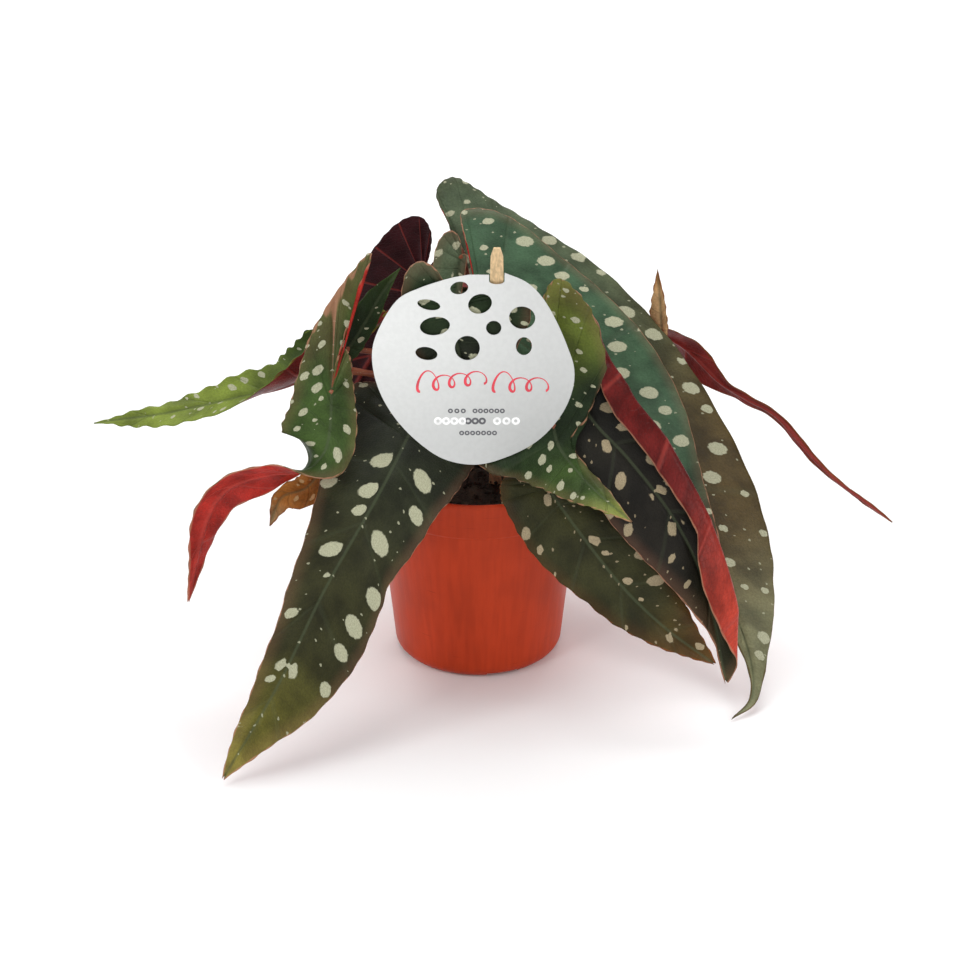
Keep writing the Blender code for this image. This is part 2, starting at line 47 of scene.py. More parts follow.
bl_info = {
    "name": "Spotted Begonia",
    "version": (1, 0, 0),
    "blender": (4, 5, 0),
    "location": "View3D > Sidebar > Begonia",
    "description": "Builds a potted spotted begonia with its hang card",
    "category": "Object",
}

MM = 0.001
CM = 0.01

# Half outlines of a blade as (along, across) in blade lengths, from the sinus round the lobe to the tip
WIDE = [(-0.03, 0.008), (-0.14, 0.03), (-0.25, 0.085), (-0.29, 0.17), (-0.22, 0.26), (-0.05, 0.315),
        (0.17, 0.325), (0.42, 0.285), (0.65, 0.195), (0.85, 0.085), (1.0, 0.003)]
NARROW = [(-0.02, 0.006), (-0.07, 0.02), (-0.12, 0.06), (-0.12, 0.115), (-0.05, 0.16), (0.07, 0.19),
          (0.22, 0.195), (0.43, 0.175), (0.65, 0.12), (0.85, 0.05), (1.0, 0.003)]
EAR = [(-0.04, 0.0), (-0.16, -0.03), (-0.31, -0.07), (-0.43, -0.105), (-0.33, -0.02), (-0.16, 0.075),
       (0.02, 0.12), (0.16, 0.15), (0.4, 0.09), (0.75, 0.06), (1.0, 0.003)]
TALL_EAR = [(-0.04, -0.01), (-0.33, 0.03), (-0.65, 0.08), (-0.88, 0.16), (-0.95, 0.29), (-0.70, 0.43),
            (-0.30, 0.46), (-0.04, 0.29), (0.16, 0.09), (0.6, 0.08), (1.0, 0.003)]
BROAD = [(-0.01, 0.01), (-0.06, 0.07), (-0.12, 0.13), (-0.19, 0.20), (-0.215, 0.26), (-0.10, 0.32),
         (0.12, 0.32), (0.36, 0.285), (0.62, 0.19), (0.84, 0.08), (1.0, 0.003)]
LONG = [(-0.01, 0.005), (-0.06, 0.035), (-0.11, 0.075), (-0.165, 0.13), (-0.15, 0.17), (-0.07, 0.19),
        (0.08, 0.185), (0.30, 0.185), (0.60, 0.13), (0.80, 0.088), (1.0, 0.003)]
# Where on the midrib each outline point's side vein starts
ROOTS = [0.0, 0.004, 0.008, 0.014, 0.024, 0.05, 0.13, 0.30, 0.52, 0.77, 0.99]
HALF_WIDTH_UNIT = 0.25
LATERAL_STEPS = 16

# Blade tissue colours; the first three are near black: the leaves' own dark green with painted shade, for
# blade parts that lie in shade
SHADED_NEAR_BLACK = (0.008, 0.008, 0.005)
SHADED_SLATE = (0.018, 0.022, 0.012)
SHADED_BROWN_BLACK = (0.012, 0.010, 0.007)
OLIVE = (0.028, 0.028, 0.009)
BROWN = (0.070, 0.048, 0.017)
TOBACCO = (0.080, 0.044, 0.009)
FOREST = (0.014, 0.027, 0.009)
GREEN = (0.040, 0.072, 0.016)
TEAL = (0.046, 0.092, 0.048)
GREY_GREEN = (0.076, 0.104, 0.058)
LIME = (0.17, 0.22, 0.034)
STRAW = (0.17, 0.155, 0.024)
SAGE = (0.26, 0.27, 0.15)
RUST = (0.20, 0.060, 0.014)
ORANGE = (0.30, 0.11, 0.020)
BEIGE = (0.48, 0.30, 0.14)
ROSE = (0.42, 0.20, 0.12)
SILVER = (0.44, 0.44, 0.30)
TAN = (0.36, 0.29, 0.18)
CRIMSON = (0.30, 0.012, 0.010)
BLOOD = (0.105, 0.009, 0.008)
SCARLET = (0.34, 0.022, 0.015)
WINE = (0.17, 0.022, 0.018)
MAROON = (0.034, 0.008, 0.010)

# A slower wave is added to the margin's own; its number of waves is this share of the margin's
SLOW_RIPPLE = 0.37

# Fine form of a blade, in metres, and the colours of its veins
TOOTH_ROOM = 0.006
PUFF = 0.0009
GROOVE_DEPTH = 0.0009
GROOVE_WIDTH = 0.0016
VEIN_SHEAR = 0.45
VEIN_COLOUR = (0.075, 0.095, 0.050)
UNDER_VEIN_COLOUR = (0.42, 0.060, 0.045)
# Blades whose lobe, or whose underside towards the tip, has a colour of its own
LOBES = {"centre_right": (0.10, 0.13, 0.020), "left_curled": (0.075, 0.10, 0.024),
         "behind_card": (0.19, 0.27, 0.15)}
UNDER_TIPS = {"right_rolled": (0.42, 0.045, 0.026)}

# Each blade: midrib in mm from the sinus to the tip, directions that the upper side faces along it,
# half outlines left and right of the midrib (seen from above, looking to the tip), their width and lobe
# factors, and the angle in degrees by which each half lifts off the blade's plane.
LEAVES = [
    dict(name="front_left", colour="dark",
         rib=[(-34, -46, 158), (-52, -82, 133), (-79, -116, 95), (-104, -141, 50), (-133, -158, 4)],
         faces=[(0, -0.7, 0.7), (0.1, -0.85, 0.45), (0.1, -0.8, 0.5)], left=NARROW, right=WIDE,
         left_width=(1.0, 0.75, 0.72, 1.15, 1.4, 1.2), right_width=(0.65, 0.5, 0.35, 0.3, 0.4, 0.7),
         left_lobe=0.5, right_lobe=0.3, left_lift=(-10, -15, -10), right_lift=(-10, -15, -10)),
    dict(name="left_curled", colour="green",
         rib=[(-77, -62, 184), (-78, -70, 164), (-82, -76, 152), (-93, -78, 144), (-111, -76, 141),
              (-134, -74, 131), (-147, -72, 108), (-159, -70, 62)],
         faces=[(0.1, -0.8, 0.5), (0.1, -0.7, 0.6), (0, 0.5, 0.8), (-0.2, 0.9, 0.3), (-0.4, 0.8, 0.3),
                (-0.5, 0.8, 0.2), (-0.5, 0.7, 0.2)],
         left=NARROW, right=EAR, left_width=(0.4, 0.45, 0.3, 0.4, 0.5, 0.5),
         left_lift=(-5, 0, 10), right_lift=(-5, 0, 10)),
    dict(name="far_left", colour="green",
         rib=[(-79, -10, 181), (-103, -14, 167), (-134, -16, 160), (-172, -18, 152), (-212, -20, 147)],
         faces=[(0, 0.1, 1), (0, -0.3, 0.9), (0, -0.5, 0.9)], left=WIDE, right=NARROW,
         left_width=(0.5,), right_width=(0.9, 0.6, 0.5, 0.5, 0.5),
         left_lift=(80, 50, 10, 0), right_lift=(80, 50, 10, 0)),
    dict(name="small_left", colour="orange",
         rib=[(-83, -50, 135), (-93, -56, 124), (-106, -60, 120), (-113, -63, 104)],
         faces=[(0.2, -0.6, 0.7), (0.1, -0.8, 0.6)], left=WIDE, right=NARROW,
         left_width=(0.8,), right_width=(0.8,), left_lift=(10,), right_lift=(10,)),
    dict(name="upper_left", colour="red",
         rib=[(-30, 24, 219), (-44, 34, 190), (-61, 40, 163), (-75, 44, 134), (-81, 46, 107)],
         faces=[(0, 0.9, 0.3)], left=WIDE, right=NARROW, left_width=(0.8,), right_width=(0.9, 0.9, 0.9),
         left_lobe=0.9, right_lobe=1.1),
    dict(name="narrow_left", colour="green",
         rib=[(-70, -36, 195), (-59, -32, 212), (-51, -30, 226), (-41, -28, 239)],
         faces=[(0.3, -0.9, 0.3)], left=WIDE, right=NARROW, left_width=(0.6,), right_width=(0.6,)),
    dict(name="behind_card", colour="dark",
         rib=[(-14, -77, 239), (-11, -77, 215), (-4, -77, 190), (4, -77, 166)],
         faces=[(0, -1, 0)], left=WIDE, right=WIDE, left_width=(1.65, 1.6, 1.4, 1.0, 1.0),
         right_width=(1.05, 1.0, 1.0), left_lobe=0.1, right_lobe=1.02),
    dict(name="upper_middle", colour="teal",
         rib=[(-9, 3, 236), (-12, 0, 218), (-15, -5, 198), (-18, -10, 178)],
         faces=[(0, -0.9, 0.4)], left=NARROW, right=WIDE, left_width=(0.3,), right_width=(0.75,),
         left_lobe=0.1, right_lobe=0.7),
    # The tail of this blade is drawn narrower than its CAD solid's, which is fuller to stay a clean solid
    dict(name="right_outer", colour="dark",
         rib=[(0, 14, 211), (43, 6, 182), (85, -8, 140), (120, -25, 93), (141, -46, 50), (152, -64, 21),
              (151, -82, 8), (139, -94, 1.8)],
         faces=[(0.1, -0.7, 0.7), (0.2, -0.8, 0.5), (0.2, -0.9, 0.3)], left=LONG, right=NARROW,
         left_width=(1, 1, 1, 1, 1, 1, 1, 1, 0.85, 0.35, 0.35),
         right_width=(0.32, 0.22, 0.4, 0.45, 0.4, 0.3, 0.1), right_lobe=0.3,
         left_lift=(-10,), right_lift=(-10,)),
    dict(name="upper_right", colour="teal",
         rib=[(0, -22, 212), (36, -34, 189), (76, -48, 157), (109, -58, 118), (132, -62, 88)],
         faces=[(0, -0.7, 0.7), (0.2, -0.8, 0.6), (0.2, -0.9, 0.4)], left=BROAD, right=NARROW,
         right_width=(0.3, 0.35, 0.7, 0.7), right_lobe=0.4, left_lift=(-10,), right_lift=(-10,)),
    dict(name="right_rolled", colour="dark",
         rib=[(37, -46, 201), (59, -64, 169), (80, -79, 150), (104, -93, 121), (120, -106, 88),
              (132, -116, 37)],
         faces=[(0, -0.8, 0.5), (0, -0.8, 0.5), (0.3, -0.8, 0.4)], left=WIDE, right=NARROW,
         left_width=(0.45, 0.66, 0.64, 0.62, 1.35, 1.8),
         right_width=(0.22, 0.3, 0.4, 0.6, 0.75, 0.85, 0.88, 0.85, 0.7, 0.25, 0.5),
         left_lobe=0.35, right_lobe=0.4, roll_start=(0.4, 0.45, 0.36, 0.24, 0.2, 0.06), roll_reach=0.16,
         roll=(60, 170, 170, 170, 170, 170, 170, 170, 170)),
    dict(name="front_right", colour="dark",
         rib=[(33, -72, 137), (50, -88, 118), (75, -104, 90), (98, -114, 70), (125, -120, 51)],
         faces=[(-0.1, -0.8, 0.6)], left=NARROW, right=WIDE, left_width=(0.8, 0.95, 1.1, 1.2, 1.6, 1.8),
         right_width=(0.55, 0.62, 0.55, 0.6, 0.7), right_lobe=0.3),
    dict(name="centre_right", colour="green",
         rib=[(39, -72, 169), (43, -78, 157), (55, -99, 149), (67, -117, 144), (78, -128, 139)],
         faces=[(0, -0.8, 0.6), (0, -0.4, 0.9), (0, -0.4, 0.9)], left=TALL_EAR, right=WIDE,
         right_width=(2.5, 1.15, 0.9, 0.85, 0.9, 1.0), right_lobe=0.4, lobe_bend=13,
         right_lift=(-9, -9, 0)),
    dict(name="far_right", colour="red",
         rib=[(101, 70, 167), (120, 58, 161), (139, 47, 145), (154, 37, 138), (174, 32, 127),
              (202, 26, 97), (242, 20, 67)],
         faces=[(0, 0.8, 0.6)], left=WIDE, right=NARROW,
         left_width=(0.3, 0.26, 0.12, 0.08, 0.1, 0.1, 0.5),
         right_width=(0.4, 0.3, 0.12, 0.1, 0.1, 0.1, 0.5)),
    dict(name="young_right", colour="orange",
         rib=[(105, 42, 175), (103, 42, 196), (101, 42, 214)],
         faces=[(-0.3, -0.9, 0.1)], left=WIDE, right=NARROW, left_width=(0.5,), right_width=(0.5,),
         left_lobe=0.3, right_lobe=0.3),
    dict(name="back", colour="dark",
         rib=[(4, 62, 205), (8, 92, 190), (11, 124, 156), (12, 140, 112)],
         faces=[(0, 0.3, 0.9), (0, 0.8, 0.5)], left=WIDE, right=NARROW, left_lobe=0.5, right_lobe=0.5,
         left_lift=(-15,), right_lift=(-15,)),
    dict(name="back_left", colour="dark",
         rib=[(-34, 52, 190), (-58, 82, 170), (-70, 104, 130), (-70, 112, 90)],
         faces=[(-0.3, 0.4, 0.9), (-0.3, 0.9, 0.3)], left=NARROW, right=WIDE, left_width=(0.6,),
         right_width=(0.6,), left_lobe=0.5, right_lobe=0.5, left_lift=(-15,), right_lift=(-15,)),
    dict(name="back_right", colour="teal",
         rib=[(48, 60, 184), (66, 90, 166), (76, 112, 130), (78, 118, 92)],
         faces=[(0.3, 0.4, 0.9), (0.3, 0.9, 0.3)], left=WIDE, right=NARROW, left_width=(0.6,),
         right_width=(0.6,), left_lobe=0.5, right_lobe=0.5, left_lift=(-15,), right_lift=(-15,)),
]

# Canes as centre lines in mm, from the soil up
CANES = {
    "cane_left": [(-14, -6, 112), (-18, -7, 140), (-25, -4, 165), (-31, 2, 190)],
    "cane_right": [(14, 0, 112), (18, 2, 135), (19, 3, 155), (18, 3, 172)],
    "cane_back": [(2, 24, 112), (5, 30, 140), (10, 36, 165), (14, 40, 190)],
}

# Petiole of each leaf: its cane, the height on it in mm, and route points in mm between cane and blade
PETIOLES = {
    "front_left": ("cane_left", 124, [(-28, -26, 138)]),
    "left_curled": ("cane_left", 154, [(-50, -22, 174), (-70, -44, 186)]),
    "far_left": ("cane_left", 166, [(-52, -8, 170)]),
    "small_left": ("cane_left", 116, [(-44, -22, 122), (-68, -38, 126)]),
    "upper_left": ("cane_left", 172, [(-44, 12, 180)]),
    "narrow_left": ("cane_left", 178, [(-54, -14, 186)]),
    "behind_card": ("cane_left", 182, [(-34, -16, 196), (-26, -48, 224)]),
    "upper_middle": ("cane_right", 167, [(10, -1, 184), (-1, 2, 204)]),
    "right_outer": ("cane_back", 186, [(6, 30, 200)]),
    "upper_right": ("cane_right", 164, [(10, -12, 180)]),
    "right_rolled": ("cane_right", 146, [(28, -34, 152), (35, -50, 167), (37, -47, 187)]),
    "front_right": ("cane_right", 118, [(24, -30, 126), (30, -54, 132)]),
    "centre_right": ("cane_right", 132, [(26, -32, 142), (34, -58, 160)]),
    "far_right": ("cane_back", 148, [(44, 44, 156), (82, 60, 160)]),
    "young_right": ("cane_back", 136, [(50, 34, 142), (92, 44, 156)]),
    "back": ("cane_back", 176, [(10, 52, 184)]),
    "back_left": ("cane_back", 164, [(-14, 42, 176)]),
    "back_right": ("cane_back", 170, [(32, 46, 174)]),
}

# Card outline in mm from its centre, clockwise from beside the slot, and its oval holes
CARD_OUTLINE = [(16, 51), (27, 46), (35, 38), (42, 26), (48, 12), (52, -1), (51, -14), (45, -28), (34, -41),
                (19, -50), (2, -55), (-15, -52), (-29, -42), (-41, -28), (-49, -12), (-52, 5), (-49, 19),
                (-39, 36), (-27, 43), (-12, 48), (-2, 50)]
# Holes: centre x, z, half width, half height in mm, tilt in degrees
CARD_HOLES = [(-7, 43, 4.6, 3.4, 12), (-22.5, 34, 5.9, 2.8, -12), (3.5, 34.5, 6.2, 5.2, 25),
              (25, 27, 6.7, 6.1, -15), (-19.5, 22.5, 7.7, 5.0, 8), (10.5, 21.5, 3.9, 3.9, 0),
              (-3, 10.5, 6.4, 6.7, 0), (26, 11.5, 4.1, 5.0, 0), (-24, 7.5, 5.7, 3.6, -10)]

# Hang card and stick, in metres
CARD_CENTRE = (-0.0025, -0.079, 0.2032)
STICK_TOP = Vector((0.0095, -0.0841, 0.2690))
STICK_FOOT = Vector((0.0095, -0.0101, 0.0800))
STICK_WIDTH = 0.0068
STICK_DEPTH = 0.0030
SLOT_WIDTH = 0.0078
SLOT_REACH = 0.0192
SLOT_ARCH_RISE = 0.0016
# Looks of each blade: colours of the upper side at the sinus, middle and tip; of its margin, spots and
# underside; spacing in cm and size of the spots; height in mm and number of the margin's waves and teeth
# Sinus, middle and tip colours that are near black carry painted shade over the leaf's own dark green
LOOKS = {
    "front_left": ((SHADED_SLATE, OLIVE, STRAW), (ROSE, SILVER, CRIMSON), (2.10, 0.25), (2.2, 3.2), (0.5, 34)),
    "left_curled": ((GREEN, GREEN, GREEN), (ROSE, SILVER, SCARLET), (1.10, 0.24), (1.8, 6.0), (0.7, 30)),
    "far_left": ((GREEN, LIME, LIME), (LIME, SILVER, WINE), (0.95, 0.22), (1.2, 5.0), (1.5, 26)),
    "small_left": ((ORANGE, ORANGE, BEIGE), (RUST, BEIGE, ORANGE), (0.80, 0.20), (1.2, 3.0), (0.8, 14)),
    "upper_left": ((SHADED_BROWN_BLACK, OLIVE, OLIVE), (MAROON, SILVER, MAROON), (1.60, 0.22), (1.2, 3.0), (0.4, 24)),
    "narrow_left": ((FOREST, FOREST, GREEN), (GREEN, SILVER, CRIMSON), (1.10, 0.22), (0.8, 3.0), (0.4, 14)),
    "behind_card": ((FOREST, SHADED_NEAR_BLACK, SHADED_NEAR_BLACK), (ROSE, SILVER, CRIMSON), (1.40, 0.24), (0.5, 3.0), (0.4, 18)),
    "upper_middle": ((GREY_GREEN, TEAL, TEAL), (ROSE, SILVER, CRIMSON), (1.30, 0.30), (0.6, 2.0), (0.3, 14)),
    "right_outer": ((GREY_GREEN, BROWN, SAGE), (TOBACCO, SILVER, CRIMSON), (1.80, 0.23), (2.4, 5.0),
                    (0.6, 34)),
    "upper_right": ((TEAL, TEAL, FOREST), (ROSE, SILVER, CRIMSON), (1.60, 0.25), (1.6, 4.0), (0.4, 30)),
    "right_rolled": ((SHADED_NEAR_BLACK, SHADED_BROWN_BLACK, OLIVE), (ROSE, TAN, BLOOD), (1.85, 0.24), (1.0, 3.0), (0.4, 30)),
    "front_right": ((OLIVE, OLIVE, TOBACCO), (RUST, TAN, CRIMSON), (1.60, 0.23), (1.6, 4.0), (0.6, 30)),
    "centre_right": ((FOREST, GREEN, LIME), (ROSE, SILVER, FOREST), (1.00, 0.24), (1.0, 4.0), (1.0, 26)),
    "far_right": ((OLIVE, OLIVE, GREEN), (RUST, SILVER, WINE), (1.33, 0.18), (0.8, 4.0), (0.6, 26)),
    "young_right": ((BEIGE, BEIGE, ORANGE), (RUST, BEIGE, BEIGE), (0.65, 0.18), (0.8, 4.0), (1.0, 12)),
    "back": ((SHADED_NEAR_BLACK, OLIVE, GREEN), (ROSE, SILVER, CRIMSON), (1.75, 0.24), (2.2, 4.0), (0.5, 30)),
    "back_left": ((FOREST, OLIVE, GREEN), (ROSE, SILVER, CRIMSON), (1.65, 0.24), (1.8, 4.0), (0.5, 28)),
    "back_right": ((TEAL, TEAL, GREEN), (ROSE, SILVER, CRIMSON), (1.60, 0.24), (1.8, 4.0), (0.5, 28)),
}


def catmull(points, places):
    """Smooth curve through the points, read at places counted in points."""
    known = np.asarray(points, float)
    if known.ndim == 1:
        known = known[:, None]
    ends = np.vstack([2 * known[0] - known[1], known, 2 * known[-1] - known[-2]])
    first = np.clip(np.floor(places).astype(int), 0, len(known) - 2)
    t = (places - first)[:, None]
    a, b, c, d = ends[first], ends[first + 1], ends[first + 2], ends[first + 3]
    return 0.5 * (2 * b + (c - a) * t + (2 * a - 5 * b + 4 * c - d) * t**2 + (3 * b - a - 3 * c + d) * t**3)


def unit(vectors):
    return vectors / np.maximum(np.linalg.norm(vectors, axis=-1, keepdims=True), 1e-12)


def along(values, u):
    """Read a list of factors, spread evenly from sinus to tip, at u."""
    if len(values) == 1:
        return np.full(np.shape(u), float(values[0]))
    return np.interp(np.clip(u, 0, 1), np.linspace(0, 1, len(values)), values)


class Blade:
    """A leaf blade's surface: flat outline, curved midrib, and how its halves lift, bend, roll and ripple."""

    def __init__(self, leaf):
        self.leaf = leaf
        rib = np.array(leaf["rib"], float) * MM
        self.line = catmull(rib, np.linspace(0, len(rib) - 1, 201))
        steps = np.linalg.norm(np.diff(self.line, axis=0), axis=1)
        self.length = steps.sum()
        self.place = np.concatenate([[0], np.cumsum(steps)]) / self.length
        self.heading = unit(np.gradient(self.line, axis=0))

    def read(self, table, u):
        return np.stack([np.interp(u, self.place, table[:, k]) for k in range(3)], -1)

    def frame(self, u):
        """Midrib point, direction to the tip, normal and leftward direction at u."""
        inside = np.clip(u, 0, 1)
        centre = self.read(self.line, inside)
        tangent = unit(self.read(self.heading, inside))
        faces = np.array(self.leaf["faces"], float)
        aim = np.repeat(faces[:1], len(u), 0)
        if len(faces) > 1:
            aim = catmull(faces, inside * (len(faces) - 1))
        normal = unit(aim - np.sum(aim * tangent, -1, keepdims=True) * tangent)
        back = np.maximum(-u, 0)[:, None]
        bend = math.radians(self.leaf.get("lobe_bend", 0)) / 0.3 + 1e-6
        angle = bend * back
        centre = centre + self.length * (normal * (1 - np.cos(angle)) - tangent * np.sin(angle)) / bend
        tilted = tangent * np.cos(angle) - normal * np.sin(angle)
        normal = normal * np.cos(angle) + tangent * np.sin(angle)
        return centre, tilted, normal, np.cross(normal, tilted)

    def half(self, side, s, t):
        """Flat place of row s (0 to 1) and side fraction t (0 to 1) on one half."""
        places = s * (len(ROOTS) - 1)
        outline = catmull(self.leaf[side], places)
        roots = catmull(ROOTS, places)[:, 0]
        across = outline[:, 1] * along(self.leaf.get(side + "_width", (1.0,)), outline[:, 0])
        lobe = self.leaf.get(side + "_lobe", 1.0)
        edge = np.where(outline[:, 0] < 0, outline[:, 0] * lobe, outline[:, 0])
        return roots + (edge - roots) * t, across * t, across

    def sheet(self, s, t, waves, teeth):
        """Points of the blade for rows s and columns t (-1 right to 1 left edge), and its tissue's places."""
        left = t >= 0
        side = np.where(left, 1.0, -1.0)
        rows = s * (len(ROOTS) - 1)
        u, v, edge = [np.where(left, a, b) for a, b in zip(self.half("left", s, np.abs(t)),
                                                           self.half("right", s, np.abs(t)))]
        width = np.abs(edge) * self.length
        room = np.clip(width / TOOTH_ROOM, 0, 1)
        height_of_tooth, number = teeth
        slow = np.sin(2 * math.pi * number * SLOW_RIPPLE * s + 2 * side)
        ripple = np.sin(2 * math.pi * number * s + side) + 0.5 * slow
        tooth = height_of_tooth * MM * 0.6 * ripple * room * np.abs(t) ** 4
        signed = v * self.length + tooth
        reach = np.abs(signed)
        outward = side * np.where(signed < 0, -1.0, 1.0)
        centre, _, normal, leftward = self.frame(u)
        lift = np.where(left, along(self.leaf.get("left_lift", (0,)), u),
                        along(self.leaf.get("right_lift", (0,)), u))
        lateral = np.zeros(len(u))
        height = np.zeros(len(u))
        for step in range(LATERAL_STEPS):
            x = (step + 0.5) / LATERAL_STEPS * reach / (HALF_WIDTH_UNIT * self.length)
            angle = np.radians(lift) * (0.4 + x)
            if "roll" in self.leaf:
                share = np.clip((x - along(self.leaf["roll_start"], u)) / self.leaf["roll_reach"], 0, 1)
                angle = angle + np.where(t > 0, np.radians(along(self.leaf["roll"], u)) * share, 0)
            lateral += np.cos(angle) * reach / LATERAL_STEPS
            height += np.sin(angle) * reach / LATERAL_STEPS
        height_of_wave, number = waves
        puff = (np.abs(np.sin(math.pi * rows)) ** 0.8 - 0.5) * np.sin(math.pi * np.abs(t)) * PUFF * room
        swell = height_of_wave * MM * np.abs(t) ** 2 * room * np.sin(2 * math.pi * number * s + 1.7 * side)
        groove = GROOVE_DEPTH * np.exp(-(reach / GROOVE_WIDTH) ** 2)
        rise = puff + swell - groove
        points = centre + leftward * (outward * lateral)[:, None] + normal * height[:, None]
        tilted = normal * np.cos(angle)[:, None] - leftward * (outward * np.sin(angle))[:, None]
        points += tilted * rise[:, None]
        flat = np.stack([u * self.length - VEIN_SHEAR * reach, side * reach], -1) / CM
        return points, {"along": u, "row": rows, "rib": reach / MM,
                        "margin": np.abs(width - reach) / MM}, flat


# Small tools for modelling

def only(item):
    """Select this object alone and make it the active one."""
    bpy.ops.object.select_all(action="DESELECT")
    item.select_set(True)
    bpy.context.view_layer.objects.active = item
    return item


def added(name):
    """Name the object that an operator has just added."""
    item = bpy.context.object
    item.name = name
    item.data.name = name
    return item


def settle(item):
    """Apply the object's place, turn and size to its mesh."""
    only(item)
    bpy.ops.object.transform_apply(location=True, rotation=True, scale=True)
    return item


def apply_modifiers(item):
    only(item)
    for modifier in list(item.modifiers):
        bpy.ops.object.modifier_apply(modifier=modifier.name)
    return item
    return item


def join(items, name):
    only(items[0])
    for item in items:
        item.select_set(True)
    bpy.ops.object.join()
    return added(name)


def smooth(item, angle=35):
    only(item)
    bpy.ops.object.shade_smooth_by_angle(angle=math.radians(angle))
    return item


def hand_over(item, node, material=None):
    """Give the piece its material and tell the frame what it stands for."""
    if material:
        item.data.materials.clear()
        item.data.materials.append(material)
    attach(item, "root")
    if node:
        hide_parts(node)
    return item


def turned(name, profile, sides):
    """A round body grown ring by ring along a profile of (radius, height) from its underside's middle."""
    bpy.ops.object.select_all(action="DESELECT")
    first = profile[0]
    bpy.ops.mesh.primitive_circle_add(vertices=sides, radius=first[0], fill_type="NGON",
                                      location=(0, 0, first[1]))
    item = settle(added(name))
    bpy.ops.object.mode_set(mode="EDIT")
    bpy.ops.mesh.select_all(action="SELECT")
    for (radius, height), (next_radius, next_height) in zip(profile, profile[1:]):
        bpy.ops.mesh.extrude_region_move(TRANSFORM_OT_translate={"value": (0, 0, next_height - height)})
        ratio = next_radius / radius
        bpy.ops.transform.resize(value=(ratio, ratio, 1), center_override=(0, 0, next_height))
    bpy.ops.mesh.select_all(action="SELECT")
    bpy.ops.mesh.normals_make_consistent(inside=False)
    bpy.ops.object.mode_set(mode="OBJECT")
    return item


def cut_away(item, tool):
    modifier = item.modifiers.new("cut", "BOOLEAN")
    modifier.operation = "DIFFERENCE"
    modifier.solver = "EXACT"
    modifier.object = tool
    apply_modifiers(item)
    bpy.data.objects.remove(tool, do_unlink=True)


def rod(name, line, radii, sides=12):
    """A round stem along a smooth line of points, with its own radius at each."""
    curve = bpy.data.curves.new(name, "CURVE")
    curve.dimensions = "3D"
    curve.bevel_depth = 1.0
    curve.bevel_resolution = (sides - 4) // 2
    curve.use_fill_caps = True
    spline = curve.splines.new("POLY")
    spline.points.add(len(line) - 1)
    for place, point, radius in zip(spline.points, line, radii):
        place.co = (*point, 1.0)
        place.radius = radius
    item = bpy.data.objects.new(name, curve)
    bpy.context.scene.collection.objects.link(item)
    only(item)
    bpy.ops.object.convert(target="MESH")
    item = added(name)
    bpy.ops.object.mode_set(mode="EDIT")
    bpy.ops.mesh.select_all(action="SELECT")
    bpy.ops.mesh.remove_doubles(threshold=0.00001)
    bpy.ops.mesh.normals_make_consistent(inside=False)
    bpy.ops.object.mode_set(mode="OBJECT")
    return smooth(item, 50)


# Small tools for materials

def rgba(colour):
    return (*colour, 1.0)


def add(tree, kind, inputs=None, **settings):
    """Add a shader node; inputs hold values or sockets to link."""
    made = tree.nodes.new("ShaderNode" + kind)
    for key, value in settings.items():
        setattr(made, key, value)
    for key, value in (inputs or {}).items():
        if isinstance(value, bpy.types.NodeSocket):
            tree.links.new(value, made.inputs[key])
        else:
            made.inputs[key].default_value = value
    return made


def calc(tree, operation, *values):
    return add(tree, "Math", dict(enumerate(values)), operation=operation).outputs[0]


def vector(tree, operation, *values):
    return add(tree, "VectorMath", dict(enumerate(values)), operation=operation).outputs[0]


def ramp(tree, value, low, high, start=0.0, end=1.0):
    """Go smoothly from start to end as the value goes from low to high."""
    made = add(tree, "MapRange", {"Value": value, "From Min": low, "From Max": high, "To Min": start,
                                  "To Max": end},
               interpolation_type="SMOOTHSTEP")
    return made.outputs["Result"]


def grey(tree, level):
    """A colour with the same level in its three channels."""
    return add(tree, "CombineColor", {0: level, 1: level, 2: level}).outputs[0]


def mix(tree, share, first, second, how="MIX"):
    made = add(tree, "Mix", {0: share, 6: first, 7: second}, data_type="RGBA", blend_type=how)
    return made.outputs[2]


def cloud(tree, place, scale, detail=3.0, size="3D"):
    """A noise value between 0 and 1."""
    made = add(tree, "TexNoise", {"Vector": place, "Scale": scale, "Detail": detail}, noise_dimensions=size)
    return made.outputs[0]


def new_group(name, inputs, outputs):
    """A shader node group, its input sockets and its output sockets by name."""
    tree = bpy.data.node_groups.new(name, "ShaderNodeTree")
    for label, kind in inputs.items():
        tree.interface.new_socket(name=label, in_out="INPUT", socket_type="NodeSocket" + kind)
    for label, kind in outputs.items():
        tree.interface.new_socket(name=label, in_out="OUTPUT", socket_type="NodeSocket" + kind)
    return tree, tree.nodes.new("NodeGroupInput").outputs, tree.nodes.new("NodeGroupOutput").inputs


def placed(tree, name, inputs):
    made = add(tree, "Group", {}, node_tree=bpy.data.node_groups[name])
    for key, value in inputs.items():
        if isinstance(value, bpy.types.NodeSocket):
            tree.links.new(value, made.inputs[key])
        else:
            made.inputs[key].default_value = value
    return made.outputs


def new_material(name, **plain):
    """A material with its Principled BSDF; plain holds values for the shader's own sockets."""
    made = bpy.data.materials.new(name)
    made.use_nodes = True
    shader = made.node_tree.nodes["Principled BSDF"]
    for key, value in plain.items():
        shader.inputs[key.replace("_", " ")].default_value = value
    return made, made.node_tree, shader


def bump(tree, height, distance, strength=1.0):
    return add(tree, "Bump", {"Height": height, "Distance": distance, "Strength": strength}).outputs[0]


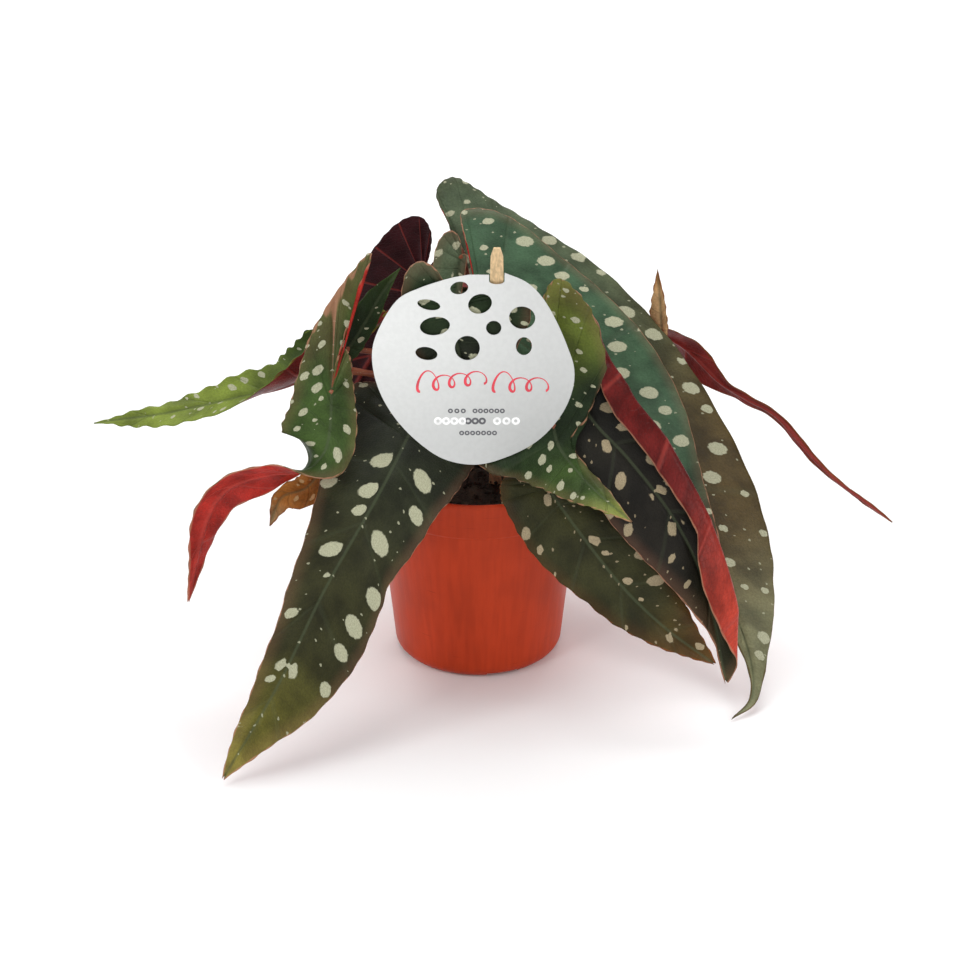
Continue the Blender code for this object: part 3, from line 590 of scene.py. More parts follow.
def make_spots_group():
    """Rows of rounded spots with uneven sizes; Share of the cells carry one, and Room shrinks them."""
    tree, get, put = new_group("polka_spots", {"Place": "Vector", "Cell": "Float", "Size": "Float",
                                               "Seed": "Float",
                                               "Room": "Float", "Share": "Float"}, {"Mask": "Float"})
    wobble = add(tree, "TexNoise", {"Vector": get["Place"], "Scale": 5.0, "Detail": 2.0},
                 noise_dimensions="2D")
    push = vector(tree, "MULTIPLY", vector(tree, "SUBTRACT", wobble.outputs[1], (0.5, 0.5, 0.5)),
                  (0.14, 0.14, 0.0))
    shift = add(tree, "CombineXYZ", {"X": get["Seed"],
                                     "Y": calc(tree, "MULTIPLY", get["Seed"], 1.7)}).outputs[0]
    oval = vector(tree, "MULTIPLY", vector(tree, "ADD", get["Place"], push), (1.0, 0.82, 1.0))
    cells = add(tree, "TexVoronoi", {"Vector": vector(tree, "ADD", oval, shift), "Randomness": 0.72,
                                     "Scale": calc(tree, "DIVIDE", 1.0, get["Cell"])},
                                     voronoi_dimensions="2D")
    dice = add(tree, "SeparateColor", {"Color": cells.outputs["Color"]}).outputs
    radius = calc(tree, "MULTIPLY", get["Size"], ramp(tree, dice[0], 0.0, 0.8, 0.42, 1.0))
    radius = calc(tree, "MULTIPLY", radius, get["Room"])
    inner = calc(tree, "MULTIPLY", radius, 0.86)
    inside = ramp(tree, cells.outputs["Distance"], inner, calc(tree, "ADD", radius, 0.004), 1.0, 0.0)
    kept = calc(tree, "LESS_THAN", dice[1], get["Share"])
    wide = calc(tree, "GREATER_THAN", radius, 0.035)
    tree.links.new(calc(tree, "MULTIPLY", calc(tree, "MULTIPLY", inside, kept), wide), put["Mask"])


def line_mask(tree, value, core, blur):
    """1 where the value is under core, falling to 0 at blur."""
    return ramp(tree, value, core, blur, 1.0, 0.0)


def vein_mask(tree, row):
    """1 on the side veins, which lie on whole rows, and 0 between them."""
    return line_mask(tree, calc(tree, "PINGPONG", row, 0.5), 0.008, 0.05)


def make_upper_group():
    """Upper side of a blade: graded tissue, midrib, veins, margin line, silver spots and fine specks."""
    floats = ("Along", "Row", "Rib", "Margin", "Cell", "Size", "Seed")
    colours = ("Base", "Middle", "Tip", "Lobe", "Edge", "Spot")
    sockets = {"Place": "Vector", **{k: "Float" for k in floats}, **{k: "Color" for k in colours}}
    tree, get, put = new_group("upper_side", sockets,
                               {"Color": "Color", "Roughness": "Float", "Height": "Float"})
    # Grade from sinus through middle to tip; where a blade's colours are near black it carries painted shade
    tissue = mix(tree, ramp(tree, get["Along"], 0.05, 0.5), get["Base"], get["Middle"])
    tissue = mix(tree, ramp(tree, get["Along"], 0.6, 1.0), tissue, get["Tip"])
    tissue = mix(tree, ramp(tree, get["Along"], -0.1, -0.55), tissue, get["Lobe"])
    patches = ramp(tree, cloud(tree, get["Place"], 0.55, 3.0), 0.3, 0.7, 0.62, 1.35)
    grain = ramp(tree, cloud(tree, get["Place"], 9.0, 2.0), 0.25, 0.75, 0.86, 1.14)
    shade = calc(tree, "MULTIPLY", patches, grain)
    tissue = mix(tree, 1.0, tissue, grey(tree, shade),
                 "MULTIPLY")
    blush = calc(tree, "MULTIPLY", line_mask(tree, get["Margin"], 0.0, 7.0), 0.12)
    tissue = mix(tree, blush, tissue, get["Edge"])
    veins = vein_mask(tree, get["Row"])
    rib = line_mask(tree, get["Rib"], 0.35, 1.3)
    lines = calc(tree, "MAXIMUM", calc(tree, "MULTIPLY", veins, 0.12), calc(tree, "MULTIPLY", rib, 0.45))
    tissue = mix(tree, lines, tissue, rgba(VEIN_COLOUR))
    room = calc(tree, "MULTIPLY", ramp(tree, get["Rib"], 0.6, 3.5, 0.2, 1.0),
                ramp(tree, get["Margin"], 0.0, 4.0, 0.45, 1.0))
    big = placed(tree, "polka_spots", {"Place": get["Place"], "Cell": get["Cell"], "Size": get["Size"],
                                       "Seed": get["Seed"], "Room": room, "Share": 0.97})[0]
    small = placed(tree, "polka_spots", {"Place": get["Place"], "Cell": 0.62, "Size": 0.10, "Room": 1.0,
                                         "Seed": calc(tree, "ADD", get["Seed"], 5.3), "Share": 0.30})[0]
    mottle = ramp(tree, cloud(tree, get["Place"], 14.0, 3.0), 0.3, 0.7, 0.8, 1.15)
    silver = mix(tree, 1.0, get["Spot"], grey(tree, mottle),
                 "MULTIPLY")
    tissue = mix(tree, calc(tree, "MULTIPLY", calc(tree, "MAXIMUM", big, calc(tree, "MULTIPLY", small, 0.75)),
                            0.94), tissue, silver)
    tissue = mix(tree, calc(tree, "MULTIPLY", line_mask(tree, get["Margin"], 0.2, 0.5), 0.75), tissue,
                 get["Edge"])
    tree.links.new(tissue, put["Color"])
    tree.links.new(ramp(tree, cloud(tree, get["Place"], 3.0, 3.0), 0.3, 0.7, 0.36, 0.52), put["Roughness"])
    net = add(tree, "TexVoronoi", {"Vector": get["Place"], "Scale": 6.0}, feature="DISTANCE_TO_EDGE",
              voronoi_dimensions="2D").outputs["Distance"]
    height = calc(tree, "MULTIPLY", ramp(tree, net, 0.0, 0.12), 0.35)
    height = calc(tree, "SUBTRACT", height, veins)
    height = calc(tree, "ADD", height, calc(tree, "MULTIPLY", big, 0.35))
    height = calc(tree, "ADD", height, calc(tree, "MULTIPLY", cloud(tree, get["Place"], 30.0, 2.0), 0.25))
    tree.links.new(height, put["Height"])


def make_under_group():
    """Underside of a blade: red tissue with raised veins."""
    sockets = {"Place": "Vector", "Along": "Float", "Row": "Float", "Rib": "Float", "Margin": "Float",
               "Tissue": "Color", "Tip": "Color", "Edge": "Color"}
    tree, get, put = new_group("underside", sockets,
                               {"Color": "Color", "Roughness": "Float", "Height": "Float"})
    patches = ramp(tree, cloud(tree, get["Place"], 0.8, 3.0), 0.3, 0.7, 0.65, 1.3)
    grain = ramp(tree, cloud(tree, get["Place"], 8.0, 3.0), 0.25, 0.75, 0.85, 1.15)
    shade = calc(tree, "MULTIPLY", patches, grain)
    tissue = mix(tree, ramp(tree, get["Along"], 0.45, 0.95), get["Tissue"], get["Tip"])
    tissue = mix(tree, 1.0, tissue, grey(tree, shade),
                 "MULTIPLY")
    veins = calc(tree, "MAXIMUM", vein_mask(tree, get["Row"]), line_mask(tree, get["Rib"], 0.5, 1.8))
    tissue = mix(tree, calc(tree, "MULTIPLY", veins, 0.35), tissue, rgba(UNDER_VEIN_COLOUR))
    tissue = mix(tree, calc(tree, "MULTIPLY", line_mask(tree, get["Margin"], 0.25, 0.9), 0.7), tissue,
                 get["Edge"])
    tree.links.new(tissue, put["Color"])
    tree.links.new(ramp(tree, cloud(tree, get["Place"], 2.0, 3.0), 0.3, 0.7, 0.30, 0.45), put["Roughness"])
    net = add(tree, "TexVoronoi", {"Vector": get["Place"], "Scale": 4.0}, feature="DISTANCE_TO_EDGE",
              voronoi_dimensions="2D").outputs["Distance"]
    height = calc(tree, "ADD", veins, calc(tree, "MULTIPLY", line_mask(tree, net, 0.0, 0.1), 0.35))
    tree.links.new(height, put["Height"])


def attribute(tree, name):
    return add(tree, "Attribute", attribute_name=name).outputs["Fac"]


def blade_materials(name, look, seed):
    """The upper and the lower side's materials of one blade."""
    (base, middle, tip), (edge, spot, under), (cell, size), *_ = look
    upper, tree, shader = new_material("upper_" + name, Specular_IOR_Level=0.13, Coat_Weight=0.03,
                                       Coat_Roughness=0.25)
    places = {"Place": add(tree, "UVMap", uv_map="blade").outputs[0]}
    places.update({k.capitalize(): attribute(tree, k) for k in ("along", "row", "rib", "margin")})
    lobe = LOBES.get(name, base)
    made = placed(tree, "upper_side", {**places, "Base": rgba(base), "Middle": rgba(middle), "Tip": rgba(tip),
                                       "Lobe": rgba(lobe), "Edge": rgba(edge), "Spot": rgba(spot),
                                       "Cell": cell,
                                       "Size": size, "Seed": 3.1 + 7.7 * seed})
    tree.links.new(made["Color"], shader.inputs["Base Color"])
    tree.links.new(made["Roughness"], shader.inputs["Roughness"])
    tree.links.new(bump(tree, made["Height"], 0.00035), shader.inputs["Normal"])
    lower, tree, shader = new_material("under_" + name, Specular_IOR_Level=0.10, Coat_Weight=0.03,
                                       Coat_Roughness=0.25)
    places = {"Place": add(tree, "UVMap", uv_map="blade").outputs[0]}
    places.update({k.capitalize(): attribute(tree, k) for k in ("along", "row", "rib", "margin")})
    made = placed(tree, "underside", {**places, "Tissue": rgba(under),
                                      "Tip": rgba(UNDER_TIPS.get(name, under)),
                                      "Edge": rgba(edge)})
    tree.links.new(made["Color"], shader.inputs["Base Color"])
    tree.links.new(made["Roughness"], shader.inputs["Roughness"])
    tree.links.new(bump(tree, made["Height"], 0.0004), shader.inputs["Normal"])
    return upper, lower


def make_blade(leaf, look, materials, thickness, row_length, columns):
    """A grid laid on the blade's surface, with its tissue's places kept on it, thickened to a leaf."""
    blade = Blade(leaf)
    rows = int(np.clip(1.35 * blade.length / row_length, 40, 190))
    bpy.ops.object.select_all(action="DESELECT")
    bpy.ops.mesh.primitive_grid_add(x_subdivisions=rows, y_subdivisions=columns, size=2)
    item = added("blade_" + leaf["name"])
    mesh = item.data
    flat = np.array([tuple(v.co) for v in mesh.vertices])
    points, places, plan = blade.sheet((flat[:, 0] + 1) / 2, flat[:, 1], look[3], look[4])
    mesh.vertices.foreach_set("co", points.ravel())
    for name, values in places.items():
        mesh.attributes.new(name, "FLOAT", "POINT").data.foreach_set("value", values)
    corners = np.array([loop.vertex_index for loop in mesh.loops])
    while mesh.uv_layers:
        mesh.uv_layers.remove(mesh.uv_layers[0])
    mesh.uv_layers.new(name="blade").data.foreach_set("uv", plan[corners].ravel())
    mesh.update()
    only(item)
    bpy.ops.object.shade_smooth()
    for made in materials:
        mesh.materials.append(made)
    thicken = item.modifiers.new("thickness", "SOLIDIFY")
    thicken.thickness = thickness
    thicken.offset = 0.0
    thicken.material_offset = 1
    thicken.material_offset_rim = 0
    return apply_modifiers(item)


# Sizes and colours that a user would change

def length(name, default, description):
    return bpy.props.FloatProperty(name=name, default=default, description=description, min=0.0, precision=5,
                                   subtype="DISTANCE", unit="LENGTH")


def colour(name, default, description):
    return bpy.props.FloatVectorProperty(name=name, default=default, description=description, size=3, min=0.0,
                                         max=1.0, subtype="COLOR")


class BegoniaPot(bpy.types.PropertyGroup):
    """Sizes of the pot and its soil"""
    height: length("Height", 0.115, "Height of the pot")
    rim_radius: length("Rim radius", 0.060, "Outer radius at the rim")
    base_radius: length("Base radius", 0.0485, "Outer radius at the foot")
    wall: length("Wall", 0.0014, "Thickness of the wall")
    band: length("Rim band", 0.021, "Height of the band under the rim")
    notches: bpy.props.IntProperty(name="Notches", default=4, min=0,
                                   description="Drainage notches in the foot")
    sides: bpy.props.IntProperty(name="Sides", default=128, min=12, description="Steps round the pot")
    plastic: colour("Plastic", (0.46, 0.044, 0.011), "Colour of the pot")
    soil_top: length("Soil top", 0.1085, "Height of the soil at the wall")
    crumbs: bpy.props.IntProperty(name="Crumbs", default=900, min=0, description="Loose crumbs on the soil")
    peat: colour("Peat", (0.020, 0.013, 0.009), "Colour of the soil")


class BegoniaLeaves(bpy.types.PropertyGroup):
    """Build of the leaf blades and their stems"""
    thickness: length("Thickness", 0.0005, "Thickness of a blade")
    row_length: length("Row length", 0.0013, "Spacing of the mesh along a margin")
    columns: bpy.props.IntProperty(name="Columns", default=44, min=4,
                                   description="Mesh columns across a blade")
    petiole_radius: length("Petiole radius", 0.0017, "Radius of a leaf's stem at the cane")
    cane_radius: length("Cane radius", 0.0038, "Radius of a cane")
    petiole_colour: colour("Petiole", (0.20, 0.055, 0.028), "Colour of the leaf stems")
    cane_colour: colour("Cane", (0.085, 0.070, 0.025), "Colour of the canes")


class BegoniaCard(bpy.types.PropertyGroup):
    """Sizes and colours of the hang card and its stick"""
    thickness: length("Thickness", 0.0006, "Thickness of the card")
    face: colour("Card", (0.66, 0.67, 0.66), "Colour of the card")
    print_colour: colour("Flourish", (0.72, 0.045, 0.075), "Colour of the flourish")
    line_colour: colour("Lines", (0.10, 0.10, 0.11), "Colour of the print lines")
    wood: colour("Wood", (0.66, 0.47, 0.26), "Colour of the stick")


class BegoniaStage(bpy.types.PropertyGroup):
    """Camera, floor and lights"""
    lens: bpy.props.FloatProperty(name="Lens", default=79.65, min=1.0, description="Focal length in mm")
    floor_size: length("Floor size", 12.0, "Length of the floor's side")
    floor_colour: colour("Floor", (0.97, 0.97, 0.97), "Colour of the floor")
    key_power: bpy.props.FloatProperty(name="Key power", default=21.5, min=0.0,
                                       description="Power of the key light")
    air: bpy.props.FloatProperty(name="Air", default=0.36, min=0.0,
                                 description="Strength of the surrounding light")


def settings(context, name):
    return getattr(context.scene, "begonia_" + name)


class BEGONIA_OT_pot(bpy.types.Operator):
    """Make the tapered nursery pot with its rim band and notched foot"""
    bl_idname = "begonia.pot"
    bl_label = "Pot"

    def execute(self, context):
        size = settings(context, "pot")
        slope = (size.rim_radius - size.base_radius) / size.height
        fillet = 0.008
        band_foot = size.height - size.band
        body = size.rim_radius - slope * size.band - 0.0008
        profile = [(size.base_radius - fillet - 0.006, 0.0010), (size.base_radius - fillet - 0.005, 0.0)]
        for step in range(9):
            turn = math.radians(90 - 90 * step / 8)
            profile.append((size.base_radius - fillet + fillet * math.cos(turn),
                            fillet - fillet * math.sin(turn)))
        profile += [(body, band_foot - 0.0012), (body + 0.0002, band_foot - 0.0006),
                    (body + 0.0009, band_foot),
                    (body + 0.0011, band_foot + 0.0008)]
        rim = size.rim_radius
        profile += [(rim - 0.0004, size.height - 0.0035), (rim, size.height - 0.0030),
                    (rim, size.height - 0.0008),
                    (rim - 0.0003, size.height - 0.0002), (rim - 0.0008, size.height),
                    (rim - size.wall, size.height - 0.0002), (rim - size.wall - 0.0004, size.height - 0.0008)]
        inner = rim - size.wall - 0.0008
        profile += [(inner, size.height - 0.004), (body - size.wall, band_foot),
                    (size.base_radius - size.wall, 0.0102), (size.base_radius - size.wall - 0.006, 0.0042),
                    (0.010, 0.0042)]
        pot = turned("pot_body", profile, size.sides)
        for number in range(size.notches):
            angle = math.radians(18 + 90 * number) - math.pi / 2
            bpy.ops.mesh.primitive_cube_add(size=1.0, rotation=(0, 0, angle), scale=(0.020, 0.019, 0.0058),
                                            location=(size.base_radius * math.cos(angle),
                                                      size.base_radius * math.sin(angle), 0.0))
            cut_away(pot, settle(added("notch")))
        smooth(pot, 40)
        plastic, tree, shader = new_material("pot_plastic", Specular_IOR_Level=0.12, Coat_Weight=0.02,
                                             Coat_Roughness=0.25)
        place = add(tree, "TexCoord").outputs["Object"]
        streaks = cloud(tree, add(tree, "Mapping", {"Vector": place, "Scale": (300, 300, 9)}).outputs[0],
                        1.0, 3.0)
        blotches = cloud(tree, place, 26.0, 3.0)
        nicks = cloud(tree, add(tree, "Mapping", {"Vector": place, "Scale": (60, 60, 1400)}).outputs[0],
                      1.0, 1.0)
        shade = calc(tree, "ADD", ramp(tree, streaks, 0.3, 0.7, -0.07, 0.07),
                     ramp(tree, blotches, 0.3, 0.7, 0.90, 1.08))
        shade = calc(tree, "SUBTRACT", shade, ramp(tree, nicks, 0.72, 0.80, 0.0, 0.25))
        tint = mix(tree, 1.0, rgba(size.plastic),
                   grey(tree, shade),
                   "MULTIPLY")
        tree.links.new(tint, shader.inputs["Base Color"])
        tree.links.new(ramp(tree, blotches, 0.3, 0.7, 0.34, 0.46), shader.inputs["Roughness"])
        height = calc(tree, "ADD", cloud(tree, place, 900.0, 2.0), calc(tree, "MULTIPLY", streaks, 0.5))
        tree.links.new(bump(tree, height, 0.00006), shader.inputs["Normal"])
        hand_over(pot, "pot", plastic)
        return {"FINISHED"}


class BEGONIA_OT_soil(bpy.types.Operator):
    """Make the lumpy peat that fills the pot, with loose crumbs on it"""
    bl_idname = "begonia.soil"
    bl_label = "Soil"

    def execute(self, context):
        size = settings(context, "pot")
        top = size.soil_top
        rim = 0.0555
        profile = [(0.030, 0.0050), (0.0395, 0.0050), (0.0455, 0.0106), (0.0548, top - 0.016),
                   (rim, top - 0.002)]
        rings = 26
        for step in range(1, rings + 1):
            share = step / rings
            profile.append((rim * (1 - share) + 0.0004, top + 0.003 * math.sin(share * math.pi / 2)))
        soil = turned("soil_base", profile, 110)
        for vertex in soil.data.vertices:
            if vertex.co.z > top - 0.003:
                at = vertex.co
                inward = min(1.0, (rim + 0.0006 - math.hypot(at.x, at.y)) / 0.006)
                lumps = noise.noise(at * 130) * 0.0026 + noise.noise(at * 420) * 0.0014
                vertex.co.z += (lumps + 0.0004) * (0.35 + 0.65 * inward)
        dice = random.Random(7)
        bpy.ops.mesh.primitive_ico_sphere_add(subdivisions=1, radius=1.0)
        crumb = added("crumb")
        grown = bmesh.new()
        for number in range(size.crumbs):
            radius = rim * math.sqrt(dice.random()) * 0.99
            angle = dice.random() * 2 * math.pi
            scale = 0.0006 + 0.0016 * dice.random() ** 3
            spot = Vector((radius * math.cos(angle), radius * math.sin(angle), 0.0))
            spot.z = top + 0.003 * math.cos(radius / rim * math.pi / 2) + 0.0006 + 0.0022 * dice.random() ** 2
            stretch = Matrix.Diagonal((1.0, 0.6 + 0.5 * dice.random(), 0.5 + 0.4 * dice.random(), 1.0))
            spin = Euler([dice.random() * 6.28 for _ in range(3)]).to_matrix().to_4x4()
            before = len(grown.verts)
            grown.from_mesh(crumb.data)
            grown.verts.ensure_lookup_table()
            grain = Matrix.Translation(spot) @ spin @ Matrix.Scale(scale, 4) @ stretch
            bmesh.ops.transform(grown, matrix=grain,
                                verts=grown.verts[before:])
        grown.to_mesh(crumb.data)
        grown.free()
        soil = join([soil, crumb], "soil_fill")
        smooth(soil, 45)
        peat, tree, shader = new_material("peat", Specular_IOR_Level=0.25)
        place = add(tree, "TexCoord").outputs["Object"]
        fine = cloud(tree, place, 700.0, 4.0)
        coarse = cloud(tree, place, 160.0, 4.0)
        tint = mix(tree, ramp(tree, coarse, 0.35, 0.75), rgba(size.peat), (0.055, 0.036, 0.022, 1.0))
        tint = mix(tree, ramp(tree, fine, 0.70, 0.80), tint, (0.30, 0.22, 0.15, 1.0))
        tree.links.new(tint, shader.inputs["Base Color"])
        tree.links.new(ramp(tree, fine, 0.3, 0.7, 0.75, 1.0), shader.inputs["Roughness"])
        tree.links.new(bump(tree, calc(tree, "ADD", fine, coarse), 0.0008), shader.inputs["Normal"])
        hand_over(soil, "soil", peat)
        return {"FINISHED"}


def cane_line(name, steps=10):
    """Smooth centre line of a cane, with its foot straight down in the soil."""
    route = np.array(CANES[name], float) * MM
    line = catmull(route, np.linspace(0, len(route) - 1, steps))
    return np.vstack([line[0] - np.array([0, 0, 0.02]), line])


def stem_material(name, tint, second):
    made, tree, shader = new_material(name, Specular_IOR_Level=0.45)
    place = add(tree, "TexCoord").outputs["Object"]
    patches = cloud(tree, place, 55.0, 3.0)
    fleck = ramp(tree, cloud(tree, place, 620.0, 1.0), 0.66, 0.72)
    skin = mix(tree, ramp(tree, patches, 0.35, 0.65), rgba(tint), rgba(second))
    skin = mix(tree, calc(tree, "MULTIPLY", fleck, 0.5), skin, rgba(TAN))
    tree.links.new(skin, shader.inputs["Base Color"])
    tree.links.new(ramp(tree, patches, 0.3, 0.7, 0.38, 0.60), shader.inputs["Roughness"])
    tree.links.new(bump(tree, cloud(tree, place, 380.0, 3.0), 0.0003), shader.inputs["Normal"])
    return made


class BEGONIA_OT_stems(bpy.types.Operator):
    """Make the jointed canes and the petioles that carry the blades"""
    bl_idname = "begonia.stems"
    bl_label = "Stems"

    def execute(self, context):
        size = settings(context, "leaves")
        bark = stem_material("cane_bark", size.cane_colour, (0.15, 0.055, 0.026))
        skin = stem_material("petiole_skin", size.petiole_colour, (0.30, 0.085, 0.035))
        for name in CANES:
            line = cane_line(name, 46)
            height = line[:, 2]
            joints = np.arange(0.118, 0.2, 0.021)
            swell = np.exp(-((height[:, None] - joints) / 0.0017) ** 2).sum(1)
            taper = np.interp(height, [height[0], height[-1]], [1.0, 0.72])
            radii = size.cane_radius * (0.86 * taper + 0.20 * swell)
            radii[-1] *= 0.5
            hand_over(rod("stem_" + name, line, radii, 16), name, bark)
        for leaf in LEAVES:
            cane, height, middle = PETIOLES[leaf["name"]]
            line = cane_line(cane)
            start = np.array([np.interp(height * MM, line[:, 2], line[:, k]) for k in range(3)])
            sinus, tangent, normal, _ = Blade(leaf).frame(np.array([0.0]))
            end = sinus[0] - normal[0] * 0.0004 + tangent[0] * 0.002
            before = sinus[0] - normal[0] * 0.006
            route = [start] + [np.array(p, float) * MM for p in middle] + [before, end]
            path = catmull(np.array(route), np.linspace(0, len(route) - 1, 34))
            radii = size.petiole_radius * np.interp(np.linspace(0, 1, 34), [0, 0.08, 0.9, 1],
                                                    [1.5, 1.0, 0.85, 0.95])
            if leaf["name"] in ("young_right", "small_left"):
                radii = radii * 0.7
            hand_over(rod("stalk_" + leaf["name"], path, radii, 12), "petiole_" + leaf["name"],
                      skin)
        return {"FINISHED"}


class BEGONIA_OT_blades(bpy.types.Operator):
    """Make the spotted leaf blades"""
    bl_idname = "begonia.blades"
    bl_label = "Leaf blades"

    def execute(self, context):
        size = settings(context, "leaves")
        make_spots_group()
        make_upper_group()
        make_under_group()
        for seed, leaf in enumerate(LEAVES):
            name = leaf["name"]
            materials = blade_materials(name, LOOKS[name], seed)
            item = make_blade(leaf, LOOKS[name], materials, size.thickness, size.row_length, size.columns)
            hand_over(item, "leaf_" + name)
        return {"FINISHED"}


def flat_loop(curve, points):
    spline = curve.splines.new("POLY")
    spline.points.add(len(points) - 1)
    spline.use_cyclic_u = True
    for place, point in zip(spline.points, points):
        place.co = (*point, 0.0, 1.0)


def flat_plate(name, loops, thickness):
    """A flat plate cut to the loops' outlines, made upright with its front facing -Y."""
    curve = bpy.data.curves.new(name, "CURVE")
    curve.dimensions = "2D"
    curve.fill_mode = "BOTH"
    curve.extrude = thickness / 2
    for loop in loops:
        flat_loop(curve, loop)
    item = bpy.data.objects.new(name, curve)
    bpy.context.scene.collection.objects.link(item)
    only(item)
    bpy.ops.object.convert(target="MESH")
    item = added(name)
    bpy.ops.object.mode_set(mode="EDIT")
    bpy.ops.mesh.select_all(action="SELECT")
    bpy.ops.mesh.remove_doubles(threshold=0.000001)
    bpy.ops.object.mode_set(mode="OBJECT")
    item.rotation_euler = (math.pi / 2, 0, 0)
    return item


class BEGONIA_OT_card(bpy.types.Operator):
    """Make the round hang card with its oval holes and plain decorative print"""
    bl_idname = "begonia.card"
    bl_label = "Hang card"

    def execute(self, context):
        size = settings(context, "card")
        slot_x = STICK_TOP.x - CARD_CENTRE[0]
        slot_foot = STICK_TOP.z - SLOT_REACH - CARD_CENTRE[2]
        edge = np.array(CARD_OUTLINE, float)
        steps = np.linspace(0, len(edge) - 1, 8 * (len(edge) - 1) + 1)
        outline = [tuple(p * MM) for p in catmull(edge, steps)]
        half = SLOT_WIDTH / 2
        arch = [(slot_x - half * math.cos(a), slot_foot - SLOT_ARCH_RISE * math.sin(a))
                for a in np.linspace(0, math.pi, 9)]
        outline += [(slot_x - half, outline[-1][1])] + arch + [(slot_x + half, outline[0][1])]
        loops = [outline]
        for x, z, wide, high, tilt in CARD_HOLES:
            cos_turn, sin_turn = math.cos(math.radians(tilt)), math.sin(math.radians(tilt))
            loops.append([((x + wide * math.cos(a) * cos_turn - high * math.sin(a) * sin_turn) * MM,
                           (z + wide * math.cos(a) * sin_turn + high * math.sin(a) * cos_turn) * MM)
                          for a in np.linspace(0, 2 * math.pi, 48, endpoint=False)])
        card = flat_plate("card_sheet", loops, size.thickness)
        card.location = CARD_CENTRE
        settle(card)
        paper, tree, shader = new_material("card_coating", Specular_IOR_Level=0.4, Coat_Weight=0.10,
                                           Coat_Roughness=0.35)
        place = add(tree, "TexCoord").outputs["Object"]
        split = add(tree, "SeparateXYZ", {"Vector": place}).outputs
        # Painted light and shade: the card's colour is made lighter to the left and top and darker to the
        # right and bottom
        across = ramp(tree, split["X"], -0.055, 0.055, 1.08, 0.84)
        down = ramp(tree, split["Z"], 0.15, 0.23, 0.80, 1.02)
        fibre = ramp(tree, cloud(tree, place, 450.0, 3.0), 0.3, 0.7, 0.975, 1.02)
        shade = calc(tree, "MULTIPLY", calc(tree, "MULTIPLY", across, down), fibre)
        tint = mix(tree, 1.0, rgba(size.face),
                   grey(tree, shade),
                   "MULTIPLY")
        tree.links.new(tint, shader.inputs["Base Color"])
        tree.links.new(ramp(tree, cloud(tree, place, 60.0), 0.3, 0.7, 0.34, 0.42), shader.inputs["Roughness"])
        tree.links.new(bump(tree, cloud(tree, place, 900.0, 2.0), 0.00003), shader.inputs["Normal"])
        hand_over(card, "hang_card", paper)
        self.print_flourish(size)
        self.print_lines(size)
        return {"FINISHED"}

    def print_flourish(self, size):
        """Two runs of pen loops."""
        front = CARD_CENTRE[1] - size.thickness / 2
        strokes = []
        for number, (first, width, loops) in enumerate(((-0.030, 0.033, 4), (0.009, 0.026, 3))):
            turns = np.linspace(0, 2 * math.pi * loops, 40 * loops)
            drift = turns / turns[-1]
            tall = 0.0036 + 0.0034 * np.exp(-((turns - math.pi) / 2.2) ** 2)
            x = first + width * drift - 0.0032 * np.sin(turns)
            z = 0.1915 + 0.004 * drift * (1 - number) - tall * np.cos(turns) + 0.0022
            line = np.stack([x, np.full(len(x), front), z], -1)
            radii = 0.00042 * (1.2 + 0.6 * np.sin(turns + 0.8))
            strokes.append(rod("stroke", line, radii, 8))
        ink = join(strokes, "card_flourish")
        self.press(ink, front, size.print_colour, "flourish_ink")

    def print_lines(self, size):
        """Short bars in three rows."""
        front = CARD_CENTRE[1] - size.thickness / 2
        rows = [(0.1788, 0.0011, [(-16, -6), (-3, 14)]), (0.1731, 0.0016, [(-7, 4)]),
                (0.1663, 0.0011, [(-10, 10)])]
        bars = self.bars(rows)
        self.press(join(bars, "card_lines"), front, size.line_colour, "line_ink")
        bright = self.bars([(0.1731, 0.0018, [(-23, -6), (7.5, 22)])])
        self.press(join(bright, "card_bright_lines"), front, (0.92, 0.92, 0.92), "bright_ink")

    def bars(self, rows):
        """Each bar is a row of small rounded marks."""
        made = []
        for height, half, spans in rows:
            for low, high in spans:
                count = max(2, round((high - low) * MM / (2.6 * half)))
                for number in range(count):
                    x = (low + (high - low) * (number + 0.5) / count) * MM
                    bpy.ops.mesh.primitive_torus_add(major_radius=half * 0.85, minor_radius=half * 0.36,
                                                     major_segments=20, minor_segments=6,
                                                     location=(x, CARD_CENTRE[1] - 0.0003, height),
                                                     rotation=(math.pi / 2, 0, 0))
                    made.append(settle(added("mark")))
        return made

    def press(self, item, front, tint, name):
        """Flatten a stroke onto the card's front and ink it."""
        for vertex in item.data.vertices:
            vertex.co.y = front + (vertex.co.y - front) * 0.12 - 0.00002
        made, tree, shader = new_material(name, Specular_IOR_Level=0.5)
        place = add(tree, "TexCoord").outputs["Object"]
        tone = ramp(tree, cloud(tree, place, 300.0, 2.0), 0.3, 0.7, 0.85, 1.1)
        ink = mix(tree, 1.0, rgba(tint), grey(tree, tone),
                  "MULTIPLY")
        tree.links.new(ink, shader.inputs["Base Color"])
        tree.links.new(ramp(tree, tone, 0.85, 1.1, 0.35, 0.5), shader.inputs["Roughness"])
        hand_over(item, None, made)


